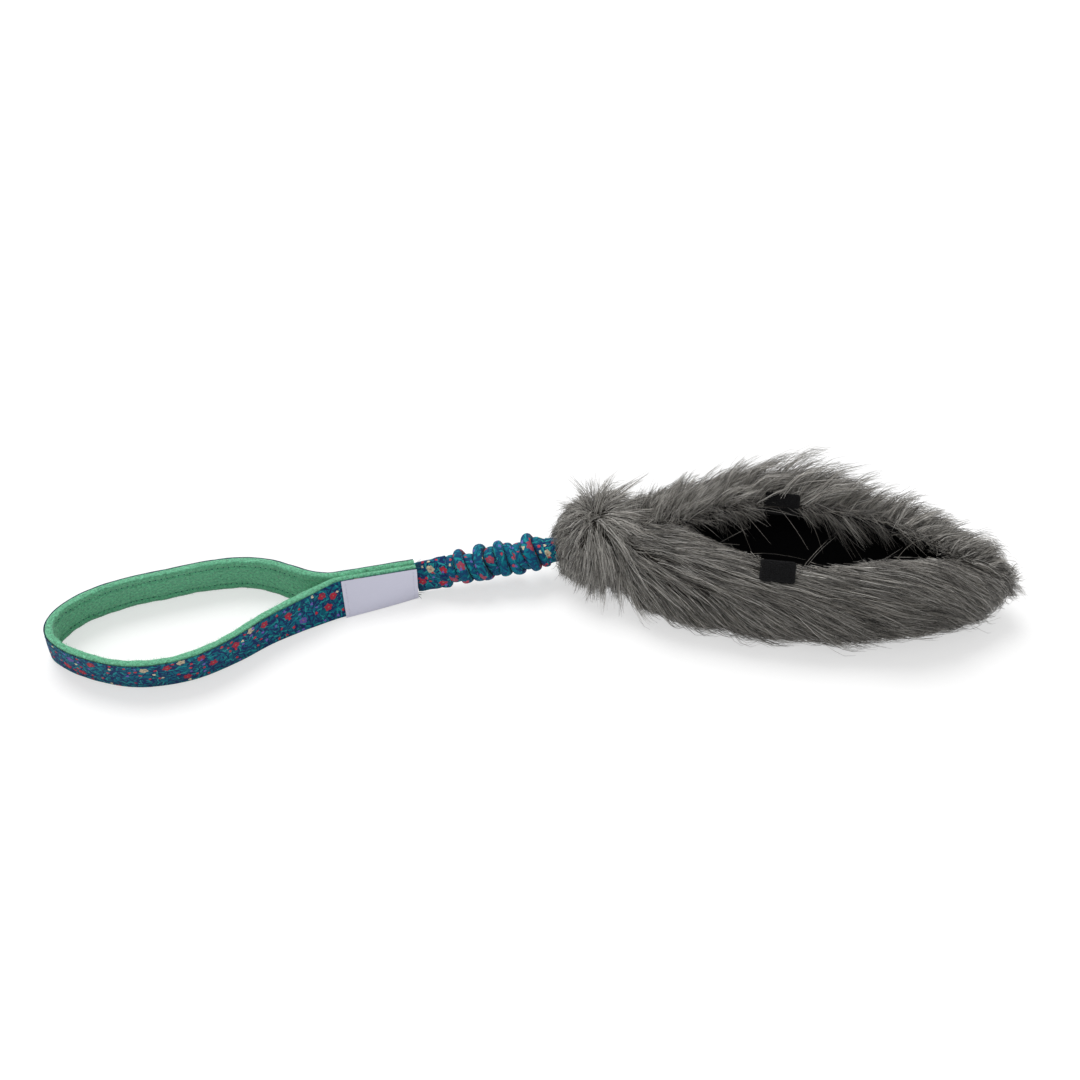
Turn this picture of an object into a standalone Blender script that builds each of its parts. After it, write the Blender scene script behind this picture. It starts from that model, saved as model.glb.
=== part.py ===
"""Bungee tug toy: a webbing hand loop, a ruched bungee sleeve and a faux fur clam pouch.

Metres, +Z up. The pouch lies on its keel with the long axis along X, and the hand loop
stands on its edge at -X. The origin is on the flat underside of the pouch.
"""

import math

import bmesh
import bpy
from mathutils import Matrix, Vector

# Clearances
clearance = 0.0003
cutter_overrun = 0.010
merge_distance = 0.00001
curve_parts = 12

# Hand loop: one band of three layers, its two ends sewn together with the cord between them
band_width = 0.0254
webbing_thickness = 0.0012
cover_thickness = 0.0005
fleece_pile = 0.0030
fleece_pressed_share = 0.32
rim_height = 0.0018
rim_rounding_share = 0.45
seam_length = 0.0460
seam_setback = 0.0036
handle_length = 0.2200
loop_width = 0.0725
band_steps = 66
label_thickness = 0.0005
label_length = 0.0455
label_height = 0.0248
label_steps = 40

# Bungee, from the swing axis at the hand loop to the bend axis at the pouch
bungee_length = 0.0865
bungee_yaw = math.radians(18.2)
bungee_pitch = math.radians(6.0)
handle_turn = math.radians(7.1)
cord_diameter = 0.0080
cord_flat_thickness = 0.0016
cord_flat_width = 0.0105
cord_tail = 0.0280
cord_taper = 0.0180
cord_anchored = 0.0200
cord_sides = 16
cord_taper_steps = 6
sleeve_wall = 0.0010
sleeve_flat_width = 0.0246
sleeve_flat_thickness = 0.0060
sleeve_end_share = 0.30
end_rounding_shares = (1.0, 0.8, 0.5)
ruche_diameter = 0.0205
neck_diameter = 0.0150
neck_rounding_share = 0.60
ruche_start = 0.0210
ruche_end_margin = 0.0090
ruffle_pitch = 0.0062
ruffle_depth = 0.0038
ruffle_slant = math.radians(16.0)
ruffle_fullness = 0.6
ruffle_wobble_share = 0.10
sleeve_sides = 22
steps_per_ruffle = 6
sleeve_split_ruffle = 4

# Neck: the place of the bend axis, and the gathered fur cuff round it
neck_place = (-0.1376, -0.0061, 0.0220)
bend_limit = math.radians(45.0)
neck_play = 0.0010
funnel_steps = 6
funnel_sides = 32
cuff_length = 0.0640
cuff_width = 0.0640
cuff_height = 0.0560
cuff_lift = 0.0260
cuff_lead = 0.0050
cuff_segments = 28
cuff_rings = 18
anchor_length = 0.0200
anchor_width = 0.0120
anchor_height = 0.0160
anchor_inset = 0.0080
anchor_bevel = 0.0016

# Pouch: a leaf-shaped clam of fur with a lined hollow, rolled a little towards the front
pouch_roll = math.radians(7.0)
pouch_start = -0.1120
pouch_end = 0.1340
pouch_widest = -0.0040
pouch_half_width = 0.0480
pouch_middle_height = 0.0240
pouch_rise = 0.0330
pouch_drop = 0.0262
end_bluntness = 3.2
tip_bluntness = 2.1
end_fullness = 0.50
tip_fullness = 0.68
section_fullness = 2.4
height_fullness = 0.7
fur_thickness = 0.0165
floor_thickness = 0.0080
end_wall = 0.0250
tip_wall = 0.0310
lip_depth = 0.0100
lining_thickness = 0.0012
lining_shy = 0.0010
mouth_start = -0.0720
mouth_end = 0.0920
mouth_half_width = 0.0230
mouth_roundness = 2.2
pouch_rings = 18
pouch_segments = 24
lens_steps = 12

# Moving sides of the pouch: they fold about the keel between two straight cuts
keel_height = 0.0050
keel_radius = 0.0160
keel_sides = 48
side_start = -0.0360
side_end = 0.0520

# Closure tabs on the lips
tab_centre = -0.0090
tab_length = 0.0205
tab_height = 0.0130
tab_thickness = 0.0018
tab_bevel = 0.0007
back_tab_offset = 0.0242
back_tab_height = 0.0500
back_tab_tilt = math.radians(-38.0)
front_tab_offset = 0.0285
front_tab_height = 0.0520
front_tab_tilt = math.radians(-22.0)

# The loop's centre line seen from above: share of the length beyond the seam, share of the
# loop's width to the side, and how far the top edge leans as a share of the band's width
loop_shares = (
    (0.047, -0.062, 0.22),
    (0.103, -0.098, 0.14),
    (0.167, -0.140, 0.06),
    (0.271, -0.215, -0.02),
    (0.393, -0.340, -0.12),
    (0.529, -0.432, -0.20),
    (0.651, -0.436, -0.24),
    (0.761, -0.375, -0.26),
    (0.864, -0.235, -0.28),
    (0.948, -0.060, -0.28),
    (0.994, 0.120, -0.24),
    (0.981, 0.290, -0.20),
    (0.916, 0.430, -0.18),
    (0.819, 0.520, -0.18),
    (0.697, 0.560, -0.18),
    (0.567, 0.560, -0.18),
    (0.432, 0.556, -0.16),
    (0.309, 0.508, -0.12),
    (0.219, 0.412, -0.06),
    (0.154, 0.285, 0.02),
    (0.096, 0.160, 0.10),
    (0.047, 0.078, 0.20),
)
seam_lean_share = 0.27

# Ruffles are uneven: one depth share for each, repeated along the sleeve
ruffle_depth_shares = (0.62, 0.80, 1.00, 0.74, 0.96, 0.86, 1.00, 0.70, 0.92, 1.00, 0.66)

colours = {
    "webbing": (0.04, 0.05, 0.06),
    "print_cotton": (0.02, 0.24, 0.30),
    "fleece": (0.28, 0.58, 0.42),
    "satin": (0.72, 0.73, 0.80),
    "elastic": (0.80, 0.80, 0.78),
    "fur": (0.15, 0.145, 0.135),
    "lining": (0.008, 0.008, 0.009),
    "tab": (0.012, 0.012, 0.013),
}


def clear_scene():
    """Start from an empty scene."""
    for obj in list(bpy.data.objects):
        bpy.data.objects.remove(obj, do_unlink=True)


def make_collection(name):
    """A new collection in the scene."""
    collection = bpy.data.collections.new(name)
    bpy.context.scene.collection.children.link(collection)
    return collection


def make_material(name, roughness=0.9, metallic=0.0):
    """A plain Principled material in the part's colour."""
    material = bpy.data.materials.new(name)
    material.use_nodes = True
    shader = material.node_tree.nodes["Principled BSDF"]
    shader.inputs["Base Color"].default_value = (*colours[name], 1.0)
    shader.inputs["Roughness"].default_value = roughness
    shader.inputs["Metallic"].default_value = metallic
    return material


def add_object(name, bm, collection, material=None):
    """Turn a bmesh into a named object, with its normals out and smooth shading."""
    bmesh.ops.recalc_face_normals(bm, faces=bm.faces)
    mesh = bpy.data.meshes.new(name)
    bm.to_mesh(mesh)
    bm.free()
    mesh.shade_smooth()
    mesh.set_sharp_from_angle(angle=math.radians(40.0))
    obj = bpy.data.objects.new(name, mesh)
    collection.objects.link(obj)
    if material:
        mesh.materials.append(material)
    return obj


def hide_cutter(obj):
    """Keep a cutter out of the part."""
    obj.hide_render = True
    obj.display_type = "WIRE"
    return obj


def boolean(obj, cutter, operation="DIFFERENCE"):
    """Cut or trim an object with another one."""
    modifier = obj.modifiers.new(operation.title() + "_" + cutter.name, "BOOLEAN")
    modifier.operation = operation
    modifier.solver = "EXACT"
    modifier.object = cutter


def ease(share):
    """A smooth step from 0 to 1."""
    share = min(max(share, 0.0), 1.0)
    return share * share * (3.0 - 2.0 * share)


def loft(rings):
    """A closed solid through rings of points, with both ends capped.

    Every diagonal runs from the lower point of one ring to the upper point of the next, so
    that layers which twist together keep their distance.
    """
    bm = bmesh.new()
    loops = [[bm.verts.new(point) for point in ring] for ring in rings]
    for first, second in zip(loops, loops[1:]):
        for index in range(len(first)):
            follow = (index + 1) % len(first)
            near, far = (first[index], first[follow]), (second[index], second[follow])
            if near[0].co.z <= near[1].co.z:
                bm.faces.new((near[0], near[1], far[1]))
                bm.faces.new((near[0], far[1], far[0]))
            else:
                bm.faces.new((near[0], near[1], far[0]))
                bm.faces.new((near[1], far[1], far[0]))
    bm.faces.new(list(reversed(loops[0])))
    bm.faces.new(loops[-1])
    return bm


def curve_through(points, steps):
    """Evenly spread points of a smooth curve through the given rows of numbers."""
    rows = [Vector(row) for row in points]
    fine = []
    for index in range(len(rows) - 1):
        before = rows[max(index - 1, 0)]
        start, end = rows[index], rows[index + 1]
        after = rows[min(index + 2, len(rows) - 1)]
        for part in range(curve_parts):
            t = part / curve_parts
            fine.append(0.5 * ((2.0 * start) + (end - before) * t
                               + (2.0 * before - 5.0 * start + 4.0 * end - after) * t ** 2
                               + (3.0 * start - before - 3.0 * end + after) * t ** 3))
    fine.append(rows[-1])
    travelled = [0.0]
    for first, second in zip(fine, fine[1:]):
        travelled.append(travelled[-1] + (second.xy - first.xy).length)
    spread = []
    place = 0
    for step in range(steps + 1):
        target = travelled[-1] * step / steps
        while place < len(fine) - 2 and travelled[place + 1] < target:
            place += 1
        span = travelled[place + 1] - travelled[place]
        spread.append(fine[place].lerp(fine[place + 1], (target - travelled[place]) / span))
    return spread


# Places that several pieces share

def bungee_direction():
    """Unit vector along the bungee, from the hand loop to the pouch."""
    level = math.cos(bungee_pitch)
    return Vector((level * math.cos(bungee_yaw), level * math.sin(bungee_yaw),
                   math.sin(bungee_pitch)))


def neck_point():
    """The bend axis passes through this point."""
    return Vector(neck_place)


def swing_point():
    """The swing axis of the hand loop passes through this point."""
    return neck_point() - bungee_direction() * bungee_length


def bungee_frame():
    """Unit vectors along, to the side of, and above the bungee."""
    along = bungee_direction()
    side = Vector((0.0, 0.0, 1.0)).cross(along).normalized()
    return along, side, along.cross(side)


def band_stack():
    """Distances of the layers from the webbing's middle, outwards positive."""
    webbing = webbing_thickness / 2.0
    cover_in = webbing + clearance
    cover_out = cover_in + cover_thickness
    return webbing, cover_in, cover_out


def tail_offset():
    """From the seam's middle plane to the middle of each tail's webbing."""
    webbing = band_stack()[0]
    pressed = fleece_pile * fleece_pressed_share
    return cord_flat_thickness / 2.0 + clearance + pressed + clearance + webbing


def seam_lean(along):
    """How far the top edge leans over the bottom edge, at a distance along the seam."""
    return seam_lean_share * band_width * max(along - seam_setback, 0.0) / seam_length


def band_path():
    """Rows of distance along the handle, distance to the side, lean and fleece share."""
    offset = tail_offset()
    seam_end = seam_setback + seam_length
    places = (seam_setback, (seam_setback + seam_end) / 2.0, seam_end)
    front = [(place, -offset, seam_lean(place), 0.0) for place in places]
    back = [(along, -side, tilt, full) for along, side, tilt, full in reversed(front)]
    loop = []
    loop_length = handle_length - seam_end
    for share, side, tilt in loop_shares:
        along = share * loop_length
        opened = ease(along / seam_length * 2.0)
        loop.append((seam_end + along, side * loop_width, tilt * band_width, opened))
    return front + loop + back


def handle_frame():
    """Origin on the floor under the swing axis, and the unit vectors of the handle's plan."""
    yaw = bungee_yaw + handle_turn
    origin = swing_point()
    origin.z = 0.0
    away = Vector((-math.cos(yaw), -math.sin(yaw), 0.0))
    side = Vector((-math.sin(yaw), math.cos(yaw), 0.0))
    return origin, away, side


def band_rings(section, path):
    """Rings of a band layer: section gives (outwards, height) points for a fleece share."""
    origin, away, side = handle_frame()
    rings = []
    for index, row in enumerate(path):
        before = path[max(index - 1, 0)]
        after = path[min(index + 1, len(path) - 1)]
        run = (after.xy - before.xy).normalized()
        outward = Vector((run.y, -run.x))
        ring = []
        for out, height in section(row[3]):
            lean = row[2] * (height / band_width - 0.5)
            plan = row.xy + outward * out + Vector((0.0, lean))
            ring.append(origin + away * plan.x + side * plan.y + Vector((0.0, 0.0, height)))
        rings.append(ring)
    return rings


# Hand loop

def webbing_section(_opened):
    """Flat webbing between the rolled rims of the fleece."""
    half = band_stack()[0]
    low = rim_height + clearance
    high = band_width - low
    corner = half * rim_rounding_share
    return ((-half, low + corner), (-half + corner, low), (half - corner, low),
            (half, low + corner), (half, high - corner), (half - corner, high),
            (-half + corner, high), (-half, high - corner))


def cover_section(_opened):
    """Printed cotton on the outer face of the webbing."""
    _, cover_in, cover_out = band_stack()
    low = rim_height + clearance
    high = band_width - low
    return ((cover_in, low), (cover_out, low), (cover_out, high), (cover_in, high))


def fleece_section(opened):
    """Fleece on the inner face, rolled over both rims as far as the print's face."""
    webbing, _, cover_out = band_stack()
    face = -webbing - clearance
    pile = fleece_pile * (fleece_pressed_share + (1.0 - fleece_pressed_share) * opened)
    inner = face - pile
    corner = rim_height * rim_rounding_share
    top = band_width
    return ((inner, corner), (inner + corner, 0.0), (cover_out - corner, 0.0),
            (cover_out, corner), (cover_out, rim_height), (face, rim_height),
            (face, top - rim_height), (cover_out, top - rim_height),
            (cover_out, top - corner), (cover_out - corner, top),
            (inner + corner, top), (inner, top - corner))


def build_handle(parts, materials):
    """The three layers of the band, and the label on the front of the seam."""
    path = curve_through(band_path(), band_steps)
    layers = (("handle_webbing", webbing_section, "webbing"),
              ("handle_print_cover", cover_section, "print_cotton"),
              ("handle_fleece_lining", fleece_section, "fleece"))
    for name, section, material in layers:
        add_object(name, loft(band_rings(section, path)), parts, materials[material])
    build_label(parts, materials)


def build_label(parts, materials):
    """A satin label, bare, flat against the printed face of the front tail."""
    label_in = band_stack()[2] + clearance
    low = (band_width - label_height) / 2.0
    high = low + label_height
    corners = ((label_in, low), (label_in + label_thickness, low),
               (label_in + label_thickness, high), (label_in, high))
    tail = [row for row in band_path() if row[0] <= seam_setback + seam_length and row[1] < 0.0]
    path = curve_through(tail, label_steps)
    path = [row for row in path if row[0] <= seam_setback + label_length]
    add_object("label", loft(band_rings(lambda _opened: corners, path)), parts,
               materials["satin"])


# Bungee cord and its ruched sleeve

def oval_ring(centre, side, above, half_side, half_above, count, shape=None):
    """A ring of points round an oval, which shape may push in or out by a share."""
    ring = []
    for index in range(count):
        angle = 2.0 * math.pi * index / count
        reach = shape(angle) if shape else 1.0
        ring.append(centre + side * (math.cos(angle) * half_side * reach)
                    + above * (math.sin(angle) * half_above * reach))
    return ring


def cord_halves(along, spare=0.0):
    """Half thickness and half width of the cord, flat at the handle and round after it."""
    opened = ease(along / cord_taper)
    radius = cord_diameter / 2.0
    half_side = cord_flat_thickness / 2.0
    half_above = cord_flat_width / 2.0
    return (half_side + (radius - half_side) * opened + spare,
            half_above + (radius - half_above) * opened + spare)


def cord_rings(start, end, spare, count):
    """Rings of the cord, or of the bore round it, from start to end along the bungee."""
    along, side, above = bungee_frame()
    _, away, handle_side = handle_frame()
    swing = swing_point()
    rings = []
    step = cord_taper / cord_taper_steps
    places = [start]
    while places[-1] + step < min(cord_taper, end):
        places.append(places[-1] + step)
    places.append(end)
    for place in places:
        half_side, half_above = cord_halves(place, spare)
        if place < 0.0:
            leaning = Vector((0.0, 0.0, 1.0)) + handle_side * seam_lean(-place) / band_width
            ring = oval_ring(swing - away * place, handle_side, leaning,
                             half_side, half_above, count)
        else:
            ring = oval_ring(swing + along * place, side, above, half_side, half_above, count)
        rings.append(ring)
    return rings


def ruffle_at(place, angle):
    """Depth of the gathers at a place and angle: sharp valleys between full, slanted folds."""
    slant = math.tan(ruffle_slant) * ruche_diameter / 2.0
    shifted = place - ruche_start + slant * math.sin(angle)
    phase = shifted / ruffle_pitch
    number = int(math.floor(phase)) % len(ruffle_depth_shares)
    crest = abs(math.sin(math.pi * phase)) ** ruffle_fullness
    wobble = ruffle_wobble_share * math.cos(3.0 * angle + number)
    swell = ruffle_depth_shares[number] * (1.0 + wobble)
    fade_in = ease((place - ruche_start + ruffle_pitch) / (2.0 * ruffle_pitch))
    fade_out = ease((bungee_length - ruche_end_margin - place) / ruffle_pitch)
    return (1.0 - crest * swell) * fade_in * fade_out


def sleeve_ring(place):
    """One ring of the sleeve's outer face."""
    along, side, above = bungee_frame()
    flat = sleeve_flat_thickness / 2.0
    neck = neck_diameter / 2.0
    full = ruche_diameter / 2.0
    opened = ease(place / ruche_start)
    narrowed = ease((place - bungee_length + ruche_end_margin + ruffle_pitch) / ruffle_pitch)
    half_side = flat + (full - flat) * opened
    half_above = sleeve_flat_width / 2.0 + (full - sleeve_flat_width / 2.0) * opened
    half_side += (neck - half_side) * narrowed
    half_above += (neck - half_above) * narrowed
    if place < 0.0:
        half_side = math.sqrt(max(flat ** 2 - place ** 2, 0.0))
    if place > bungee_length:
        ball = math.sqrt(max(neck ** 2 - (place - bungee_length) ** 2, 0.0))
        half_side, half_above = ball, ball

    def shape(angle):
        return 1.0 - ruffle_at(place, angle) * ruffle_depth / full

    return oval_ring(swing_point() + along * place, side, above, half_side, half_above,
                     sleeve_sides, shape)


def sleeve_piece(name, places, bore, parts, material):
    """A length of sleeve through the given places, with the cord's bore cut out."""
    piece = add_object(name, loft([sleeve_ring(place) for place in places]), parts, material)
    boolean(piece, bore)
    return piece


def build_bungee(parts, cutters, materials):
    """The cord, and the sleeve in two lengths that part as the bungee stretches."""
    step = ruffle_pitch / steps_per_ruffle
    split = ruche_start + sleeve_split_ruffle * ruffle_pitch
    flat = sleeve_flat_thickness / 2.0
    neck = neck_diameter / 2.0
    spare = 2.0 * clearance
    flat_end = sleeve_flat_thickness * sleeve_end_share
    ball_end = math.sqrt(neck ** 2 - (cord_diameter / 2.0 + spare + sleeve_wall) ** 2)

    bore_rings = cord_rings(-flat - cutter_overrun, bungee_length + neck + cutter_overrun,
                            spare, sleeve_sides)
    bore = hide_cutter(add_object("sleeve_bore", loft(bore_rings), cutters))

    handle_places = [-flat_end * share for share in end_rounding_shares]
    handle_places += [0.0, ruche_start / 3.0, ruche_start * 2.0 / 3.0]
    place = ruche_start - ruffle_pitch
    while place < split - step / 2.0:
        if place > handle_places[-1] + step / 2.0:
            handle_places.append(place)
        place += step
    handle_places.append(split - clearance)

    pouch_places = [split + clearance]
    place = split + step
    while place < bungee_length - step / 2.0:
        pouch_places.append(place)
        place += step
    pouch_places += [bungee_length, bungee_length + ball_end * neck_rounding_share,
                     bungee_length + ball_end]

    sleeve_piece("sleeve_handle_end", handle_places, bore, parts, materials["print_cotton"])
    sleeve_piece("sleeve_pouch_end", pouch_places, bore, parts, materials["print_cotton"])
    cord_end = bungee_length + anchor_inset + cord_anchored - cord_diameter
    cord = loft(cord_rings(-cord_tail, cord_end, 0.0, cord_sides))
    add_object("bungee_cord", cord, parts, materials["elastic"])


# Pouch forms

def leaf_form(name, inset, collection, material=None):
    """The pouch's leaf shape, drawn in by an inset at the sides, ends, top and bottom."""
    side_in, start_in, end_in, top_in, bottom_in = inset
    start, end = pouch_start + start_in, pouch_end - end_in
    bm = bmesh.new()
    bmesh.ops.create_uvsphere(bm, u_segments=pouch_segments, v_segments=pouch_rings, radius=1.0)
    half_segment = math.pi / pouch_segments
    bmesh.ops.rotate(bm, verts=bm.verts, matrix=Matrix.Rotation(half_segment, 3, "Z"))
    bmesh.ops.rotate(bm, verts=bm.verts, matrix=Matrix.Rotation(math.radians(90.0), 3, "Y"))
    for vert in bm.verts:
        share = min(max(vert.co.x, -1.0), 1.0)
        length = end - pouch_widest if share > 0.0 else pouch_widest - start
        blunt = tip_bluntness if share > 0.0 else end_bluntness
        full = tip_fullness if share > 0.0 else end_fullness
        swell = max(1.0 - abs(share) ** blunt, 0.0) ** full
        angle = math.atan2(vert.co.z, vert.co.y)
        across, up = math.cos(angle), math.sin(angle)
        power = 2.0 / section_fullness
        across = math.copysign(abs(across) ** power, across)
        up = math.copysign(abs(up) ** power, up)
        rise = pouch_rise - top_in if up > 0.0 else pouch_drop - bottom_in
        height_swell = swell ** height_fullness
        vert.co = (pouch_widest + share * length,
                   (pouch_half_width - side_in) * swell * across,
                   pouch_middle_height + rise * height_swell * up)
    bmesh.ops.remove_doubles(bm, verts=bm.verts, dist=merge_distance)
    leaf = add_object(name, bm, collection, material)
    leaf.rotation_euler.x = pouch_roll
    return leaf


def lens_form(name, spare, collection):
    """The mouth: an upright lens-shaped prism, wider by spare all round."""
    middle = (mouth_start + mouth_end) / 2.0
    half_length = (mouth_end - mouth_start) / 2.0 + spare
    half_width = mouth_half_width + spare
    shares = [math.sin(math.radians(90.0) * (2.0 * step / lens_steps - 1.0))
              for step in range(lens_steps + 1)]
    front = [(middle + share * half_length, -half_width * (1.0 - abs(share) ** mouth_roundness))
             for share in shares]
    back = [(x, -y) for x, y in reversed(front[1:-1])]
    top = pouch_middle_height + pouch_rise + cutter_overrun
    bottom = pouch_middle_height
    bm = loft([[(x, y, z) for x, y in front + back] for z in (bottom, top)])
    lens = add_object(name, bm, collection)
    lens.rotation_euler.x = pouch_roll
    return hide_cutter(lens)


def hollow_form(name, spare, collection):
    """The whole inside of the pouch, leaf and mouth in one, wider by spare all round."""
    inset = (fur_thickness - spare, end_wall - spare, tip_wall - spare, lip_depth - spare,
             floor_thickness - spare)
    hollow = leaf_form(name, inset, collection)
    boolean(hollow, lens_form(name + "_mouth", spare, collection), "UNION")
    return hide_cutter(hollow)


def box_cutter(name, low, high, collection, roll=0.0):
    """A box between two corners, turned about the X axis through the origin."""
    bm = bmesh.new()
    bmesh.ops.create_cube(bm, size=1.0)
    size = Vector(high) - Vector(low)
    middle = (Vector(high) + Vector(low)) / 2.0
    bmesh.ops.scale(bm, vec=size, verts=bm.verts)
    bmesh.ops.translate(bm, vec=middle, verts=bm.verts)
    box = add_object(name, bm, collection)
    box.rotation_euler.x = roll
    return hide_cutter(box)


def keel_cutter(name, radius, collection):
    """A cylinder about the keel axis, longer than the moving sides."""
    length = side_end - side_start + 4.0 * cutter_overrun
    bm = bmesh.new()
    bmesh.ops.create_cone(bm, cap_ends=True, segments=keel_sides, radius1=radius,
                          radius2=radius, depth=length)
    bmesh.ops.rotate(bm, verts=bm.verts, matrix=Matrix.Rotation(math.radians(90.0), 3, "Y"))
    middle = (side_start + side_end) / 2.0
    bmesh.ops.translate(bm, vec=(middle, 0.0, keel_height), verts=bm.verts)
    keel = add_object(name, bm, collection)
    keel.rotation_euler.x = pouch_roll
    return hide_cutter(keel)


def side_region(name, side, spare, collection):
    """The space of one moving side, or of both when side is 0, drawn in by spare."""
    reach = pouch_half_width + cutter_overrun
    low = [side_start + spare, -reach, -cutter_overrun]
    high = [side_end - spare, reach, pouch_middle_height + pouch_rise + cutter_overrun]
    if side < 0:
        high[1] = -spare
    if side > 0:
        low[1] = spare
    region = box_cutter(name, low, high, collection, pouch_roll)
    boolean(region, keel_cutter(name + "_keel", keel_radius + spare, collection))
    return region


def tab_frame(side):
    """Place and turn of a closure tab on the back (1) or front (-1) lip."""
    offset = back_tab_offset if side > 0 else -front_tab_offset
    height = back_tab_height if side > 0 else front_tab_height
    tilt = back_tab_tilt if side > 0 else front_tab_tilt
    roll = Matrix.Rotation(pouch_roll, 4, "X")
    place = Matrix.Translation((tab_centre, offset, height))
    return roll @ place @ Matrix.Rotation(-tilt, 4, "X")


def tab_form(name, side, spare, raised, collection, material=None):
    """A closure tab, or the notch round it, which also clears the fur above."""
    bm = bmesh.new()
    bmesh.ops.create_cube(bm, size=1.0)
    thickness = tab_thickness + spare * 2.0 + raised
    size = (tab_length + 2.0 * spare, tab_height + 2.0 * spare, thickness)
    bmesh.ops.scale(bm, vec=size, verts=bm.verts)
    bmesh.ops.translate(bm, vec=(0.0, 0.0, raised / 2.0), verts=bm.verts)
    if not raised:
        bmesh.ops.bevel(bm, geom=bm.edges[:], offset=tab_bevel, segments=2, profile=0.5,
                        affect="EDGES", material=-1)
    tab = add_object(name, bm, collection, material)
    tab.matrix_world = tab_frame(side)
    return tab


def build_pouch(parts, cutters, materials):
    """Fur, lining and closure tabs: a fixed shell, and a front and a back side that fold."""
    fur_hollow = hollow_form("fur_hollow", lining_thickness + clearance, cutters)
    lining_outer_cut = hollow_form("lining_hollow", 0.0, cutters)
    shy = lining_shy
    lining_limit = hide_cutter(leaf_form("lining_limit", (shy,) * 5, cutters))
    both_sides = side_region("both_sides", 0, 0.0, cutters)
    reach = 2.0 * (pouch_end - pouch_start)
    floor = box_cutter("floor", (-reach, -reach, -reach), (reach, reach, 0.0), cutters)

    shell = leaf_form("fur_shell", (0.0,) * 5, parts, materials["fur"])
    for cutter in (fur_hollow, both_sides, floor):
        boolean(shell, cutter)

    lining = lining_piece("lining_shell", parts, materials)
    boolean(lining, lining_limit, "INTERSECT")
    for cutter in (lining_outer_cut, both_sides):
        boolean(lining, cutter)

    for word, side in (("front", -1), ("back", 1)):
        region = side_region(word + "_side", side, clearance, cutters)
        notch = hide_cutter(tab_form(word + "_notch", side, clearance, cutter_overrun, cutters))
        fur_side = leaf_form("fur_" + word + "_side", (0.0,) * 5, parts, materials["fur"])
        for cutter in (fur_hollow, floor, notch):
            boolean(fur_side, cutter)
        boolean(fur_side, region, "INTERSECT")
        lining_side = lining_piece("lining_" + word + "_side", parts, materials)
        boolean(lining_side, lining_limit, "INTERSECT")
        for cutter in (lining_outer_cut, notch):
            boolean(lining_side, cutter)
        boolean(lining_side, region, "INTERSECT")
        tab_form(word + "_closure_tab", side, 0.0, 0.0, parts, materials["tab"])


def lining_piece(name, parts, materials):
    """The lining's outer form, leaf and mouth in one, before it is hollowed."""
    lining = hollow_form(name, lining_thickness, parts)
    lining.hide_render = False
    lining.display_type = "TEXTURED"
    lining.data.materials.append(materials["lining"])
    return lining


# Neck

def funnel_profile():
    """Half section of the space that the sleeve's ball and its bend need, about its axis."""
    ball = neck_diameter / 2.0 + neck_play
    bore = cord_diameter / 2.0 + 2.0 * clearance
    deep = [(math.sqrt(ball ** 2 - bore ** 2), bore)]
    first = math.atan2(bore, deep[0][0])
    last = math.radians(90.0) - bend_limit
    for step in range(1, funnel_steps + 1):
        angle = first + (last - first) * step / funnel_steps
        deep.append((ball * math.cos(angle), ball * math.sin(angle)))
    reach = cuff_width
    deep.append((deep[-1][0] - reach * math.cos(bend_limit),
                 deep[-1][1] + reach * math.sin(bend_limit)))
    return deep


def neck_matrix():
    """Turns local Z to the bungee's direction, with the origin on the bend axis."""
    along, side, above = bungee_frame()
    turn = Matrix((side, above, along)).transposed().to_4x4()
    return Matrix.Translation(neck_point()) @ turn


def neck_cutter(collection):
    """Funnel, ball seat and cord bore in one turned cutter."""
    profile = funnel_profile()
    depth = anchor_inset + cutter_overrun / 2.0
    section = [(0.0, depth), (profile[0][1], depth)]
    section += [(radius, along) for along, radius in profile]
    section.append((0.0, profile[-1][0]))
    bm = bmesh.new()
    verts = [bm.verts.new((radius, 0.0, along)) for radius, along in section]
    edges = [bm.edges.new(pair) for pair in zip(verts, verts[1:])]
    bmesh.ops.spin(bm, geom=verts + edges, cent=(0.0, 0.0, 0.0), axis=(0.0, 0.0, 1.0),
                   angle=math.radians(360.0), steps=funnel_sides, use_merge=True)
    bmesh.ops.remove_doubles(bm, verts=bm.verts, dist=merge_distance)
    cutter = add_object("neck_funnel", bm, collection)
    cutter.matrix_world = neck_matrix()
    return hide_cutter(cutter)


def anchor_block(name, spare, length, collection, material=None):
    """The folded webbing that holds the cord's end, or the pocket round it."""
    bm = bmesh.new()
    bmesh.ops.create_cube(bm, size=1.0)
    size = (anchor_width + 2.0 * spare, anchor_height + 2.0 * spare, length + spare)
    bmesh.ops.scale(bm, vec=size, verts=bm.verts)
    middle = anchor_inset + (length - spare) / 2.0
    bmesh.ops.translate(bm, vec=(0.0, 0.0, middle), verts=bm.verts)
    if not spare:
        bmesh.ops.bevel(bm, geom=bm.edges[:], offset=anchor_bevel, segments=2, profile=0.5,
                        affect="EDGES", material=-1)
    block = add_object(name, bm, collection, material)
    block.matrix_world = neck_matrix()
    return block


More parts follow.
